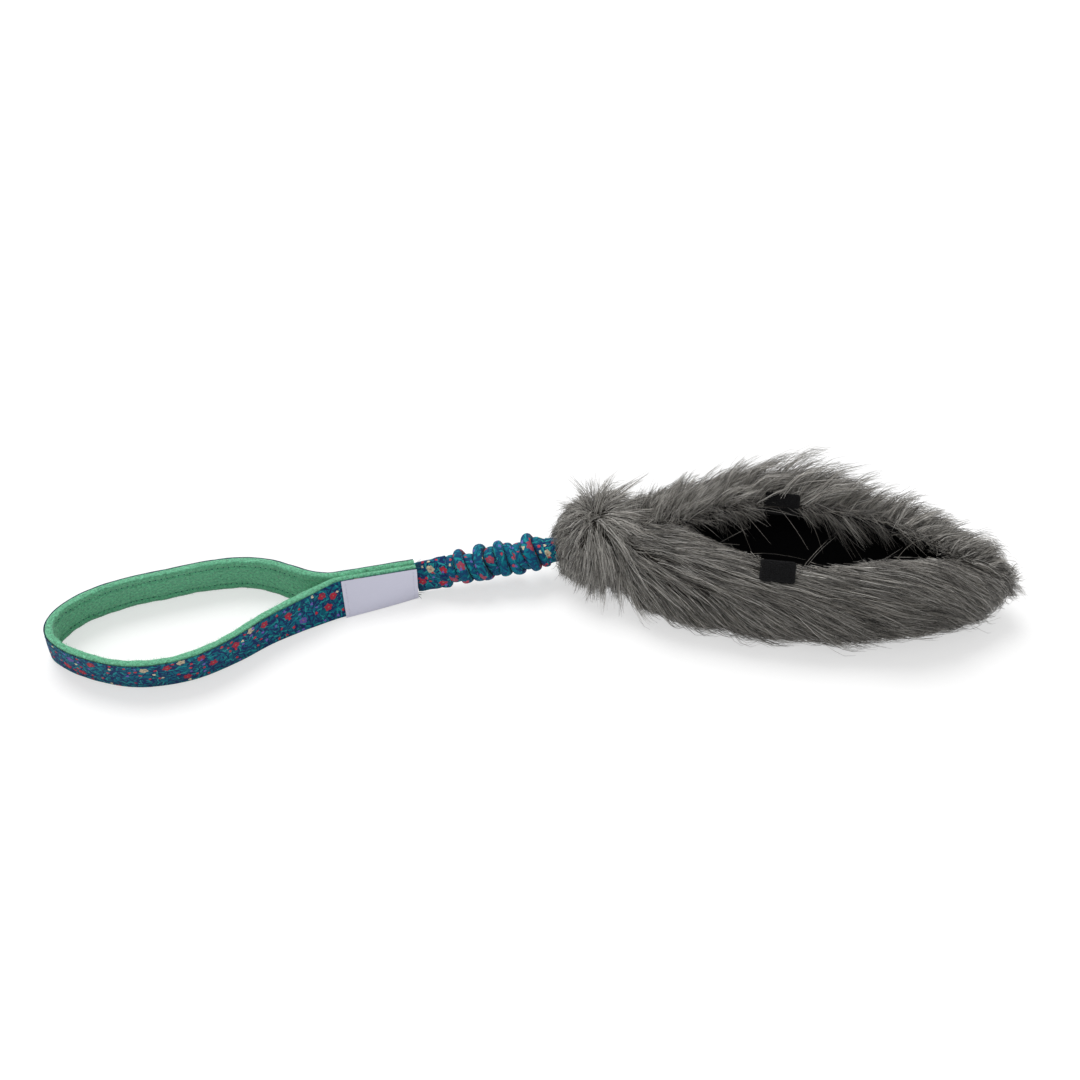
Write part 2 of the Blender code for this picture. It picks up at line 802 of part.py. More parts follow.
def build_neck(parts, cutters, materials):
    """The gathered fur cuff round the bungee's end, and the anchor inside it."""
    shell_seat = hide_cutter(leaf_form("shell_seat", (-clearance,) * 5, cutters))
    funnel = neck_cutter(cutters)
    pocket = hide_cutter(anchor_block("anchor_pocket", clearance, cuff_length, cutters))
    bore_end = bungee_length + anchor_inset + cord_anchored
    bore_rings = cord_rings(bungee_length, bore_end, clearance, cord_sides)
    bore = hide_cutter(add_object("anchor_bore", loft(bore_rings), cutters))
    floor = bpy.data.objects["floor"]

    bm = bmesh.new()
    bmesh.ops.create_uvsphere(bm, u_segments=cuff_segments, v_segments=cuff_rings, radius=1.0)
    bmesh.ops.rotate(bm, verts=bm.verts, matrix=Matrix.Rotation(math.radians(90.0), 3, "Y"))
    half_size = Vector((cuff_length, cuff_width, cuff_height)) / 2.0
    bmesh.ops.scale(bm, vec=half_size, verts=bm.verts)
    cuff = add_object("fur_neck_cuff", bm, parts, materials["fur"])
    along, _, _ = bungee_frame()
    centre = neck_point() + along * (cuff_length / 2.0 - cuff_lead)
    cuff.location = (centre.x, centre.y, cuff_lift)
    cuff.rotation_euler.z = bungee_yaw
    for cutter in (shell_seat, funnel, pocket, floor):
        boolean(cuff, cutter)

    anchor_reach = anchor_length + cuff_length
    anchor = anchor_block("pouch_anchor", 0.0, anchor_reach, parts, materials["webbing"])
    for cutter in (shell_seat, bore):
        boolean(anchor, cutter)


def main():
    """Build the whole toy."""
    clear_scene()
    parts = make_collection("bungee_tug_toy")
    cutters = make_collection("cutters")
    materials = {name: make_material(name) for name in colours}
    build_handle(parts, materials)
    build_bungee(parts, cutters, materials)
    build_pouch(parts, cutters, materials)
    build_neck(parts, cutters, materials)


main()
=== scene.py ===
"""Bungee tug toy: a fleece-lined hand loop, a ruched stretch sleeve and a shaggy fur pouch.

The file is laid out as an add-on: sizes and colours are properties, each piece or group of
pieces has its operator, and main() runs them in order around the packed model.
"""

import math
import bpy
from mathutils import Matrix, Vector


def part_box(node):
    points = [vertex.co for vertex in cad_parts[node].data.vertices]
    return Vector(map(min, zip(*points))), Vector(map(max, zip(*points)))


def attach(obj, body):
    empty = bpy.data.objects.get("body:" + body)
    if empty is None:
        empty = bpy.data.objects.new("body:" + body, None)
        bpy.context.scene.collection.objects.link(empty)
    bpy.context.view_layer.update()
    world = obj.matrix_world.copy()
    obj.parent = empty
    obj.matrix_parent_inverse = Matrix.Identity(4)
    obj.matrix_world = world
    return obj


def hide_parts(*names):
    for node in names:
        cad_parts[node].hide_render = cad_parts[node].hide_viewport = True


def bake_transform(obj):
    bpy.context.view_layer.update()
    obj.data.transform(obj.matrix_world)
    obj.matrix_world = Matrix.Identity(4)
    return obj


bl_info = {
    "name": "Bungee Tug Toy",
    "version": (1, 0, 0),
    "blender": (4, 5, 0),
    "location": "View3D > Sidebar > Tug Toy",
    "description": "Builds a bungee tug toy with a printed hand loop and a fur pouch",
    "category": "Add Mesh",
}

import bmesh
import bpy
import numpy as np
from bpy.props import FloatProperty, FloatVectorProperty, IntProperty
from mathutils import Matrix, Vector

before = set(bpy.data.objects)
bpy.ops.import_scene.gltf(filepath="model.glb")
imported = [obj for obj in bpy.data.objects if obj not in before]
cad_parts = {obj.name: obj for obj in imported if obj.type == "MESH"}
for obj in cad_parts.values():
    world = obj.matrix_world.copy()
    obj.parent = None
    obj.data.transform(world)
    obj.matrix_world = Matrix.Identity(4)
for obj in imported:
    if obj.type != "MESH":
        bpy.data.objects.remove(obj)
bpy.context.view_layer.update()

CENTIMETRES = 100.0
MERGE = 1e-6
TURN = 2.0 * math.pi
UP = np.array((0.0, 0.0, 1.0))
FRONT, BACK = -1.0, 1.0

# Points along and round each form
WEBBING_POINTS, COVER_POINTS, FLEECE_POINTS = 40, 64, 72
LABEL_STATIONS, LABEL_POINTS, LABEL_STITCHES = 60, 56, 8
CORD_STATIONS, CORD_POINTS, CUFF_SIDES = 24, 20, 40
BACKING_STATIONS, BACKING_OUTER, BACKING_INNER = 64, 34, 22
LINING_STATIONS, LINING_POINTS = 56, 26

# Loose fibres of the fleece, frayed ends at the seam (above the label, and in all), stray hairs
FIBRES, QUICK_FIBRES = 3500, 1500
FRAYED_ABOVE, FRAYED = 19, 26
STRAYS = {FRONT: 8, BACK: 36}

# Half the thickness of the finest threads, and how far each stitch row is from its layer's face
FIBRE_RADIUS, FRAY_RADIUS, LABEL_STITCH_RADIUS = 0.00007, 0.00014, 0.00022
STITCH_SINK, LABEL_STITCH_RISE, LABEL_STITCH_INSET = 0.00003, 0.00018, 0.0012

# Lowest place of the fur's backing
BACKING_FLOOR = 0.0003

# Closure tabs: rounding of their corners and edges, and the stubs on their face
TAB_CORNER, TAB_EDGE = 0.0016, 0.0004
STUB_PITCH, STUB_RADIUS, STUB_INSET = 0.00105, 0.00030, 0.0014

# The hand loop's centre line seen from above: share of the length beyond the seam, share of
# the loop's width to the side, and the top edge's lean as a share of the band's width
LOOP_SHARES = (
    (0.047, -0.062, 0.22), (0.103, -0.098, 0.14), (0.167, -0.140, 0.06),
    (0.271, -0.215, -0.02), (0.393, -0.340, -0.12), (0.529, -0.432, -0.20),
    (0.651, -0.436, -0.24), (0.761, -0.375, -0.26), (0.864, -0.235, -0.28),
    (0.948, -0.060, -0.28), (0.994, 0.120, -0.24), (0.981, 0.290, -0.20),
    (0.916, 0.430, -0.18), (0.819, 0.520, -0.18), (0.697, 0.560, -0.18),
    (0.567, 0.560, -0.18), (0.432, 0.556, -0.16), (0.309, 0.508, -0.12),
    (0.219, 0.412, -0.06), (0.154, 0.285, 0.02), (0.096, 0.160, 0.10),
    (0.047, 0.078, 0.20),
)

# Ruffles of the sleeve, one row each: fullness, and how far its fullest side is turned
RUFFLES = (
    (0.78, 1.2), (1.00, 1.4), (0.84, -2.0), (1.06, 1.8), (0.86, 0.4), (1.04, 1.1),
    (0.98, -1.6), (0.82, 2.6), (1.10, 1.5), (0.90, -0.9), (1.12, 1.2), (0.92, -1.4),
)

# Backing of the tuft at the neck, turned about the bungee: metres along it, and radius
CUFF_PROFILE = (
    (0.0045, 0.0078), (0.0005, 0.0086), (-0.0010, 0.0100), (0.0015, 0.0136),
    (0.0055, 0.0168), (0.0115, 0.0196), (0.0195, 0.0214), (0.0285, 0.0218),
    (0.0385, 0.0196),
)
CUFF_LIFT, CUFF_LIFT_LENGTH = 0.0045, 0.012
TUFT_PARTING = np.array((-0.1175, -0.0010, 0.0440))

# Fur lengths at places along the pouch, as shares of the longest
FUR_PLACES = (-0.105, -0.085, -0.062, -0.042, -0.022, 0.0, 0.018, 0.040, 0.080, 0.110, 0.128)
FUR_SHARES = {
    FRONT: (0.66, 0.72, 0.84, 0.94, 0.98, 1.00, 0.98, 0.94, 0.82, 0.58, 0.34),
    BACK: (0.42, 0.42, 0.62, 0.88, 1.18, 1.10, 0.84, 0.64, 0.58, 0.48, 0.34),
}

# The same on the lips' rims, then the lowest and highest heading, and the way that they fall
LIP_PLACES = (-0.076, -0.042, -0.030, -0.017, 0.002, 0.014, 0.039, 0.062, 0.076, 0.096)
LIP_SHARES = {
    FRONT: (0.35, 0.35, 0.30, 0.22, 0.30, 0.50, 0.60, 0.60, 0.55, 0.50),
    BACK: (0.50, 0.80, 0.62, 0.24, 0.50, 1.15, 0.95, 0.55, 0.28, 0.20),
}
LIP_HEADINGS = {
    FRONT: ((0.8, -0.40, -0.05), (1.3, 0.15, 0.50), (0.10, -0.15, -0.22)),
    BACK: ((0.20, -0.80, -0.55), (1.4, 0.45, 0.50), (0.14, -0.05, -0.42)),
}

# Print: vines by shift and width; leaves by motifs in a centimetre, shift, half length, the
# share left out and colour; blossoms and berries by the random number that each colour starts at
VINES = ((0.0, 0.016), (21.0, 0.012))
LEAVES = (
    (1.50, 0.0, 0.42, 0.10, "navy"), (1.80, 3.7, 0.32, 0.45, "jade"),
    (1.75, 9.1, 0.36, 0.12, "navy"), (2.30, 7.7, 0.26, 0.15, "navy"),
    (2.10, 15.3, 0.28, 0.45, "jade"), (2.60, 27.9, 0.24, 0.20, "navy"),
)
BLOSSOMS = ((0.0, "red"), (0.36, "cream"), (0.56, "red"), (0.80, "lilac"))
BERRIES = ((0.0, "red"), (0.60, "lilac"), (0.85, "cream"))


def display(red, green, blue):
    """The linear colour of a colour that is read off a display, 0 to 255."""
    def linear(value):
        share = value / 255.0
        return share / 12.92 if share <= 0.04045 else ((share + 0.055) / 1.055) ** 2.4
    return tuple(linear(value) for value in (red, green, blue))


def length(name, default, text):
    """A length property in metres."""
    return FloatProperty(name=name, description=text, default=default, min=0.0,
                         unit="LENGTH", precision=5)


def place(name, default, text):
    """A place property in metres."""
    return FloatProperty(name=name, description=text, default=default, unit="LENGTH",
                         precision=5)


def angle(name, degrees, text):
    """An angle property."""
    return FloatProperty(name=name, description=text, default=math.radians(degrees),
                         subtype="ANGLE")


def share(name, default, text):
    """A plain number or a share."""
    return FloatProperty(name=name, description=text, default=default, precision=3)


def count(name, default, text):
    """A whole number."""
    return IntProperty(name=name, description=text, default=default, min=1)


def colour(name, rgb, text):
    """A colour property, given as display values from 0 to 255."""
    return FloatVectorProperty(name=name, description=text, default=display(*rgb),
                               subtype="COLOR", size=3, min=0.0, max=1.0)


class TugLoopProperties(bpy.types.PropertyGroup):
    """Sizes and colours of the hand loop and its label."""

    band_width: length("Band width", 0.0254, "Height of the band on its edge")
    webbing_thickness: length("Webbing", 0.0012, "Thickness of the webbing core")
    cover_thickness: length("Cover", 0.0005, "Thickness of the printed cotton")
    gap: length("Gap", 0.0003, "Clearance between the layers")
    fleece_pile: length("Fleece pile", 0.0030, "Thickness of the fleece")
    pressed: share("Pressed fleece", 0.32, "Share of the pile that is left in the seam")
    rim_height: length("Rim", 0.0018, "Height of the fleece rolled over each edge")
    rim_rounding: share("Rim rounding", 0.45, "Rounding of the rims")
    cover_inset: length("Cover inset", 0.0007, "From the band's edge to the printed cover")
    groove: length("Groove", 0.0010, "How far the stitches draw the fleece in")
    seam_length: length("Seam", 0.0460, "Length over which both ends are sewn together")
    seam_setback: length("Seam setback", 0.0036, "From the swing axis to the seam")
    seam_lean: share("Seam lean", 0.27, "Lean of the top edge at the seam's far end")
    handle_length: length("Handle length", 0.2200, "From the swing axis to the far end")
    loop_width: length("Loop width", 0.0725, "Width that the loop's table is scaled to")
    stations: count("Stations", 560, "Steps along the band")
    label_thickness: length("Label thickness", 0.0005, "Thickness of the satin label")
    label_length: length("Label length", 0.0455, "Length of the label along the seam")
    label_height: length("Label height", 0.0248, "Height of the label")
    stitch_length: length("Stitch", 0.0024, "Length of one stitch")
    stitch_pitch: length("Stitch pitch", 0.0034, "From one stitch to the next")
    stitch_inset: length("Stitch inset", 0.0046, "From the band's edge to its stitches")
    stitch_radius: length("Thread", 0.00026, "Half the thickness of the thread")
    ground: colour("Print ground", (0, 112, 134), "Ground of the printed cotton")
    navy: colour("Print leaves", (20, 26, 84), "Dark leaves of the print")
    jade: colour("Print light leaves", (30, 140, 142), "Light leaves of the print")
    red: colour("Print red", (196, 28, 44), "Red blossoms and berries")
    cream: colour("Print cream", (222, 206, 170), "Cream blossoms")
    lilac: colour("Print lilac", (112, 88, 176), "Lilac blossoms")
    fleece: colour("Fleece", (112, 192, 152), "Mint fleece")
    satin: colour("Satin", (214, 214, 232), "Satin of the label")
    webbing: colour("Webbing", (44, 52, 58), "Webbing core")
    thread: colour("Thread", (16, 60, 78), "Sewing thread")


class TugBungeeProperties(bpy.types.PropertyGroup):
    """Sizes and colours of the cord and its ruched sleeve."""

    length_between: length("Bungee length", 0.0865, "From the swing axis to the bend axis")
    yaw: angle("Yaw", 18.2, "Turn of the bungee seen from above")
    pitch: angle("Pitch", 6.0, "Rise of the bungee towards the pouch")
    handle_turn: angle("Handle turn", 7.1, "Further turn of the handle")
    neck_x: place("Neck X", -0.1376, "Bend axis at the pouch")
    neck_y: place("Neck Y", -0.0061, "Bend axis at the pouch")
    neck_z: place("Neck Z", 0.0220, "Bend axis at the pouch")
    cord_diameter: length("Cord", 0.0080, "Diameter of the elastic cord")
    cord_flat_thickness: length("Flat cord", 0.0016, "Thickness of the cord's sewn end")
    cord_flat_width: length("Flat cord width", 0.0105, "Width of the cord's sewn end")
    cord_tail: length("Cord tail", 0.0260, "Length of the cord inside the seam")
    cord_taper: length("Cord taper", 0.0180, "Length over which the cord turns round")
    cord_anchored: length("Cord anchor", 0.0190, "Length of the cord inside the pouch")
    flat_width: length("Flat sleeve", 0.0246, "Height of the sleeve at the hand loop")
    flat_thickness: length("Flat sleeve thickness", 0.0060, "Thickness at the hand loop")
    ruche_diameter: length("Ruche", 0.0212, "Diameter over the ruffles")
    valley_diameter: length("Valley", 0.0104, "Diameter between the ruffles")
    neck_diameter: length("Neck", 0.0150, "Diameter where the sleeve enters the fur")
    ruche_start: length("Ruche start", 0.0175, "From the swing axis to the first ruffle")
    ruffle_pitch: length("Ruffle pitch", 0.0060, "From one ruffle to the next")
    ruffle_slant: angle("Ruffle slant", 15.0, "Slant of the ruffles")
    overhang: share("Overhang", 0.20, "How far a fold hangs over its valley")
    crest: share("Crest", 0.66, "Sharpness of a fold: lower is rounder")
    sides: count("Sides", 72, "Points round the sleeve")
    steps: count("Steps", 12, "Steps along one ruffle")
    elastic: colour("Elastic", (226, 226, 222), "Braided elastic cord")


class TugPouchProperties(bpy.types.PropertyGroup):
    """Sizes and colours of the pouch's forms, lining and tabs."""

    roll: angle("Roll", 7.0, "Turn of the pouch about its length")
    start: place("Start", -0.1120, "End of the pouch at the neck")
    end: place("End", 0.1340, "Tip of the pouch")
    widest: place("Widest", -0.0040, "Place of the widest section")
    half_width: length("Half width", 0.0480, "Half width of the widest section")
    middle_height: length("Middle height", 0.0240, "Height of the section's middle")
    rise: length("Rise", 0.0330, "From the middle to the top")
    drop: length("Drop", 0.0262, "From the middle to the belly")
    end_bluntness: share("End bluntness", 3.2, "Bluntness of the neck end")
    tip_bluntness: share("Tip bluntness", 2.1, "Bluntness of the tip")
    end_fullness: share("End fullness", 0.50, "Fullness of the neck end")
    tip_fullness: share("Tip fullness", 0.68, "Fullness of the tip")
    section_fullness: share("Section fullness", 2.4, "Squareness of the cross section")
    height_fullness: share("Height fullness", 0.7, "How slowly the height tapers")
    skin_depth: length("Skin depth", 0.0055, "From the outline in to the fur's backing")
    wall: length("Wall", 0.0150, "From the outline in to the lining")
    end_wall: length("End wall", 0.0235, "The same at the neck end")
    tip_wall: length("Tip wall", 0.0295, "The same at the tip")
    lip_wall: length("Lip wall", 0.0085, "The same at the top")
    floor_wall: length("Floor wall", 0.0065, "The same at the belly")
    lining_thickness: length("Lining", 0.0012, "Thickness of the lining")
    mouth_start: place("Mouth start", -0.0720, "Left corner of the mouth")
    mouth_end: place("Mouth end", 0.0920, "Right corner of the mouth")
    mouth_half_width: length("Mouth", 0.0230, "Half width of the mouth")
    mouth_roundness: share("Mouth roundness", 2.2, "Roundness of the mouth's outline")
    front_lip_inwards: share("Front lip", 0.24, "How far the front lip leans in at the tip end")
    tab_centre: place("Tab centre", -0.0090, "Middle of both tabs along the pouch")
    tab_length: length("Tab length", 0.0205, "Length of a tab")
    tab_height: length("Tab height", 0.0130, "Height of a tab")
    tab_thickness: length("Tab thickness", 0.0018, "Thickness of a tab")
    back_tab_offset: place("Back tab offset", 0.0242, "Place of the back tab")
    back_tab_height: place("Back tab height", 0.0500, "Height of the back tab")
    back_tab_tilt: angle("Back tab tilt", -38.0, "Tilt of the back tab")
    front_tab_offset: place("Front tab offset", -0.0285, "Place of the front tab")
    front_tab_height: place("Front tab height", 0.0520, "Height of the front tab")
    front_tab_tilt: angle("Front tab tilt", -22.0, "Tilt of the front tab")
    backing: colour("Fur backing", (58, 55, 51), "Knitted backing of the fur")
    lining: colour("Lining", (9, 9, 10), "Cloth lining")
    tape: colour("Tape", (13, 13, 14), "Hook and loop tabs")


class TugFurProperties(bpy.types.PropertyGroup):
    """Sizes and colours of the fur."""

    strand_radius: length("Strand radius", 0.00016, "Half the thickness of a strand")
    joints: count("Joints", 5, "Straight parts of one strand")
    side_locks: count("Side locks", 1290, "Locks on each side of the pouch")
    neck_locks: count("Neck locks", 736, "Locks on the tuft at the neck")
    lip_locks: count("Lip locks", 340, "Locks on the rim of each lip")
    lock_strands: count("Strands", 14, "Strands in one lock")
    lip_strands: count("Lip strands", 10, "Strands in one lock of a lip's rim")
    lock_radius: length("Lock radius", 0.0030, "Half the width of a lock at its root")
    front_length: length("Front length", 0.0340, "Longest fur on the front")
    back_length: length("Back length", 0.0410, "Longest fur on the back")
    tuft_length: length("Tuft length", 0.0215, "Mean length on the tuft")
    lip_length: length("Lip length", 0.0180, "Longest hairs on a lip's rim")
    wave: length("Wave", 0.0012, "Sideways wave of a lock")
    clump: share("Clump", 0.58, "How far a lock's strands draw together at the tip")
    floor: length("Floor gap", 0.0008, "Lowest that a strand may lie")
    highest: length("Highest", 0.0672, "Highest that a strand may stand")
    back_reach: length("Back reach", 0.0590, "Furthest back that a strand may reach")
    tip_reach: length("Tip reach", 0.1405, "How far most strands reach at the tip")
    dark: colour("Dark fur", (66, 65, 63), "Fur in the gaps between locks")
    middle: colour("Fur", (145, 143, 139), "Middle of the fur's colour")
    light: colour("Light fur", (232, 229, 223), "Lightest strands")


class TugStageProperties(bpy.types.PropertyGroup):
    """Camera, floor and light."""

    camera_azimuth: angle("Camera azimuth", 8.0, "Turn of the camera round the toy")
    camera_elevation: angle("Camera elevation", 44.0, "Height of the camera as an angle")
    camera_distance: length("Camera distance", 1.10, "From the camera to its target")
    target_x: place("Target X", -0.1549, "Point that the camera looks at")
    target_y: place("Target Y", 0.0215, "Point that the camera looks at")
    sensor: share("Sensor", 36.0, "Width of the sensor in millimetres")
    focal_share: share("Focal share", 1760.0 / 1080.0, "Focal length over the sensor")
    floor_size: length("Floor size", 12.0, "Width of the floor")
    world_strength: share("World strength", 0.62, "Strength of the even light")
    key_energy: share("Key light", 2.1, "Strength of the soft key light")
    floor_tone: colour("Floor", (250, 250, 250), "Pale floor")


def loop_values():
    """Sizes and colours of the hand loop."""
    return bpy.context.scene.tug_loop


def bungee_values():
    """Sizes and colours of the bungee."""
    return bpy.context.scene.tug_bungee


def pouch_values():
    """Sizes and colours of the pouch."""
    return bpy.context.scene.tug_pouch


def fur_values():
    """Sizes and colours of the fur."""
    return bpy.context.scene.tug_fur


# Node materials


class Finish:
    """A Principled material, with short calls for the nodes that feed it."""

    def __init__(self, name):
        self.material = bpy.data.materials.new(name)
        self.material.use_nodes = True
        self.tree = self.material.node_tree
        self.shader = self.tree.nodes["Principled BSDF"]

    def put(self, socket, value):
        """Link a socket, or set its value."""
        if isinstance(value, bpy.types.NodeSocket):
            self.tree.links.new(value, socket)
        elif socket.type == "RGBA" and len(value) == 3:
            socket.default_value = (*value, 1.0)
        else:
            socket.default_value = value

    def node(self, kind, inputs=None, **settings):
        """A new shader node with its inputs linked or set."""
        node = self.tree.nodes.new("ShaderNode" + kind)
        for key, value in settings.items():
            setattr(node, key, value)
        for key, value in (inputs or {}).items():
            self.put(node.inputs[key], value)
        return node

    def math(self, operation, first, second=0.0, clamp=False):
        """One sum."""
        inputs = {0: first, 1: second}
        return self.node("Math", inputs, operation=operation, use_clamp=clamp).outputs[0]

    def wave(self, value, rate):
        """A sine wave along a value."""
        return self.math("SINE", self.math("MULTIPLY", value, rate))

    def mix(self, amount, first, second, blend="MIX"):
        """Mix two colours."""
        inputs = {0: amount, 6: first, 7: second}
        return self.node("Mix", inputs, data_type="RGBA", blend_type=blend).outputs[2]

    def ramp(self, value, stops, interpolation="LINEAR"):
        """A colour ramp through (place, colour) stops."""
        node = self.node("ValToRGB", {"Fac": value})
        node.color_ramp.interpolation = interpolation
        elements = node.color_ramp.elements
        while len(elements) < len(stops):
            elements.new(1.0)
        for element, (where, tone) in zip(elements, stops):
            element.position = where
            element.color = (*tone, 1.0)
        return node.outputs["Color"]

    def spread(self, value, low, high):
        """A value from 0 to 1 made to run from low to high."""
        inputs = {"Value": value, "To Min": low, "To Max": high}
        return self.node("MapRange", inputs).outputs["Result"]

    def noise(self, vector, scale, detail=2.0, roughness=0.5):
        """Noise from 0 to 1."""
        inputs = {"Vector": vector, "Scale": scale, "Detail": detail, "Roughness": roughness}
        return self.node("TexNoise", inputs).outputs["Fac"]

    def bump(self, height, strength, distance):
        """Send a height to the shader's normal."""
        inputs = {"Height": height, "Strength": strength, "Distance": distance}
        self.put(self.shader.inputs["Normal"], self.node("Bump", inputs).outputs["Normal"])

    def set(self, **inputs):
        """Set or link the shader's own sockets, by names with _ for a space."""
        for key, value in inputs.items():
            self.put(self.shader.inputs[key.replace("_", " ")], value)

    def surface(self):
        """The piece's own UV map, in centimetres."""
        return self.node("TexCoord").outputs["UV"]

    def solid(self):
        """Object coordinates, in metres."""
        return self.node("TexCoord").outputs["Object"]


def scaled(tone, factor, more=0.0):
    """A colour made lighter or darker."""
    return tuple(min(part * factor + more, 1.0) for part in tone)


def wandering(finish, surface, scale, amount):
    """Cloth coordinates that noise has drawn about."""
    noise = finish.node("TexNoise", {"Vector": surface, "Scale": scale, "Detail": 2.0})
    shift = finish.node("VectorMath", {0: noise.outputs["Color"], 1: (0.5, 0.5, 0.5)},
                        operation="SUBTRACT").outputs[0]
    shift = finish.node("VectorMath", {0: shift, "Scale": amount}, operation="SCALE")
    return finish.node("VectorMath", {0: surface, 1: shift.outputs[0]}).outputs[0]


def motif(finish, surface, scale, shift, randomness=0.9):
    """The nearest motif's own turned X and Y in centimetres, and two random numbers."""
    moved = finish.node("Mapping", {"Vector": surface, "Location": (shift, shift, 0.0)})
    cell = finish.node("TexVoronoi", {"Vector": moved.outputs[0], "Scale": scale,
                                      "Randomness": randomness}, voronoi_dimensions="2D")
    own = finish.node("VectorMath", {0: moved.outputs[0], 1: cell.outputs["Position"]},
                      operation="SUBTRACT").outputs[0]
    chance = finish.node("SeparateColor", {"Color": cell.outputs["Color"]}).outputs
    turn = finish.math("MULTIPLY", chance[0], TURN)
    turned = finish.node("VectorRotate", {"Vector": own, "Angle": turn},
                         rotation_type="Z_AXIS").outputs[0]
    axes = finish.node("SeparateXYZ", {"Vector": turned}).outputs
    return axes[0], axes[1], chance[1], chance[2]


def present(finish, mask, chance, level):
    """Keep a mask only on the motifs whose random number is above a level."""
    return finish.math("MULTIPLY", mask, finish.math("GREATER_THAN", chance, level))


def leaf_mask(finish, x, y, half_length, half_width):
    """An almond-shaped leaf."""
    along = finish.math("DIVIDE", x, half_length)
    hollow = finish.math("MULTIPLY", along, along)
    edge = finish.math("MULTIPLY", finish.math("SUBTRACT", 1.0, hollow), half_width)
    inside = finish.math("SUBTRACT", edge, finish.math("ABSOLUTE", y))
    return finish.math("MULTIPLY", inside, 60.0, clamp=True)


def blossom_masks(finish, x, y, radius, petals):
    """A small round blossom, and its eye."""
    reach = finish.node("VectorMath", {0: finish.node("CombineXYZ", {0: x, 1: y}).outputs[0]},
                        operation="LENGTH").outputs["Value"]
    turn = finish.math("MULTIPLY", finish.math("ARCTAN2", y, x), petals)
    lobes = finish.math("MULTIPLY", finish.math("COSINE", turn), 0.09 * radius)
    edge = finish.math("ADD", lobes, 0.83 * radius)
    whole = finish.math("MULTIPLY", finish.math("SUBTRACT", edge, reach), 60.0, clamp=True)
    eye = finish.math("MULTIPLY", finish.math("SUBTRACT", 0.20 * radius, reach), 80.0,
                      clamp=True)
    return whole, eye


def printed_cotton():
    """Cotton with small scattered leaves, blossoms and berries on a teal ground."""
    values = loop_values()
    finish = Finish("printed_cotton")
    surface = finish.surface()
    drawn = wandering(finish, surface, 3.4, 0.20)
    ragged = wandering(finish, surface, 8.0, 0.22)
    wash = finish.spread(finish.noise(surface, 1.3, 3.0), -0.3, 1.5)
    tone = finish.mix(wash, scaled(values.ground, 0.35), values.ground)

    for shift, width in VINES:
        moved = finish.node("Mapping", {"Vector": surface, "Location": (shift, shift, 0.0)})
        bands = finish.noise(moved.outputs[0], 1.1, 1.0)
        line = finish.math("ABSOLUTE", finish.math("SUBTRACT", bands, 0.5))
        vine = finish.math("MULTIPLY", finish.math("SUBTRACT", width, line), 120.0, clamp=True)
        tone = finish.mix(vine, tone, values.navy)
    for scale, shift, size, left_out, name in LEAVES:
        x, y, chance, _ = motif(finish, drawn, scale, shift)
        leaf = leaf_mask(finish, x, y, size, size * 0.20)
        tone = finish.mix(present(finish, leaf, chance, left_out), tone,
                          getattr(values, name))

    x, y, chance, kind = motif(finish, ragged, 0.90, 5.3, 0.8)
    whole, eye = blossom_masks(finish, x, y, 0.29, 5.0)
    petal = finish.ramp(kind, [(low, getattr(values, name)) for low, name in BLOSSOMS],
                        "CONSTANT")
    streaks = finish.spread(finish.noise(surface, 9.0, 2.0), 0.0, 0.62)
    petal = finish.mix(streaks, petal, display(70, 20, 60))
    tone = finish.mix(present(finish, whole, chance, 0.30), tone, petal)
    tone = finish.mix(present(finish, eye, chance, 0.30), tone, display(150, 110, 90))
    x, y, chance, kind = motif(finish, ragged, 2.5, 12.9, 0.95)
    whole, _ = blossom_masks(finish, x, y, 0.115, 3.0)
    berry = finish.ramp(kind, [(low, getattr(values, name)) for low, name in BERRIES],
                        "CONSTANT")
    tone = finish.mix(present(finish, whole, chance, 0.66), tone, berry)

    worn = finish.noise(surface, 22.0, 2.0)
    tone = finish.mix(finish.spread(worn, 0.0, 0.16), tone, values.ground)
    # Painted shade in the sleeve's valleys (red) and painted highlight on its crests (green).
    shade = finish.node("Attribute", attribute_name="fold_shade_and_highlight").outputs["Color"]
    shade = finish.node("SeparateColor", {"Color": shade}).outputs
    tone = finish.mix(finish.math("MULTIPLY", shade["Green"], 0.13), tone,
                      scaled(values.ground, 1.8))
    tone = finish.mix(finish.math("MULTIPLY", shade["Red"], 0.90), tone, (0.002, 0.003, 0.008))
    axes = finish.node("SeparateXYZ", {"Vector": surface}).outputs[:2]
    weave = finish.math("MULTIPLY", *(finish.wave(axis, TURN * 13.0) for axis in axes))
    creases = finish.noise(surface, 5.0, 4.0, 0.6)
    height = finish.math("ADD", finish.math("MULTIPLY", weave, 0.12), creases)
    finish.bump(height, 0.55, 0.0006)
    finish.set(Base_Color=tone, Roughness=finish.spread(worn, 0.72, 0.92),
               Specular_IOR_Level=0.14, Sheen_Weight=0.04, Sheen_Roughness=0.5)
    return finish.material


def brushed_fleece():
    """Mint fleece with a short, slightly matted pile."""
    values = loop_values()
    finish = Finish("brushed_fleece")
    surface = finish.surface()
    patches = finish.noise(surface, 1.3, 4.0, 0.6)
    pile = finish.noise(surface, 6.5, 5.0, 0.75)
    mats = finish.noise(surface, 3.6, 3.0, 0.6)
    tone = finish.ramp(pile, ((0.34, scaled(values.fleece, 0.42)), (0.52, values.fleece),
                              (0.68, scaled(values.fleece, 1.42))))
    tone = finish.mix(finish.spread(patches, 0.0, 0.25), tone, values.fleece)
    height = finish.math("ADD", pile, finish.math("MULTIPLY", mats, 1.5))
    finish.bump(height, 0.9, 0.0014)
    finish.set(Base_Color=tone, Roughness=finish.spread(pile, 0.85, 1.0),
               Specular_IOR_Level=0.2, Sheen_Weight=0.3, Sheen_Roughness=0.45)
    return finish.material


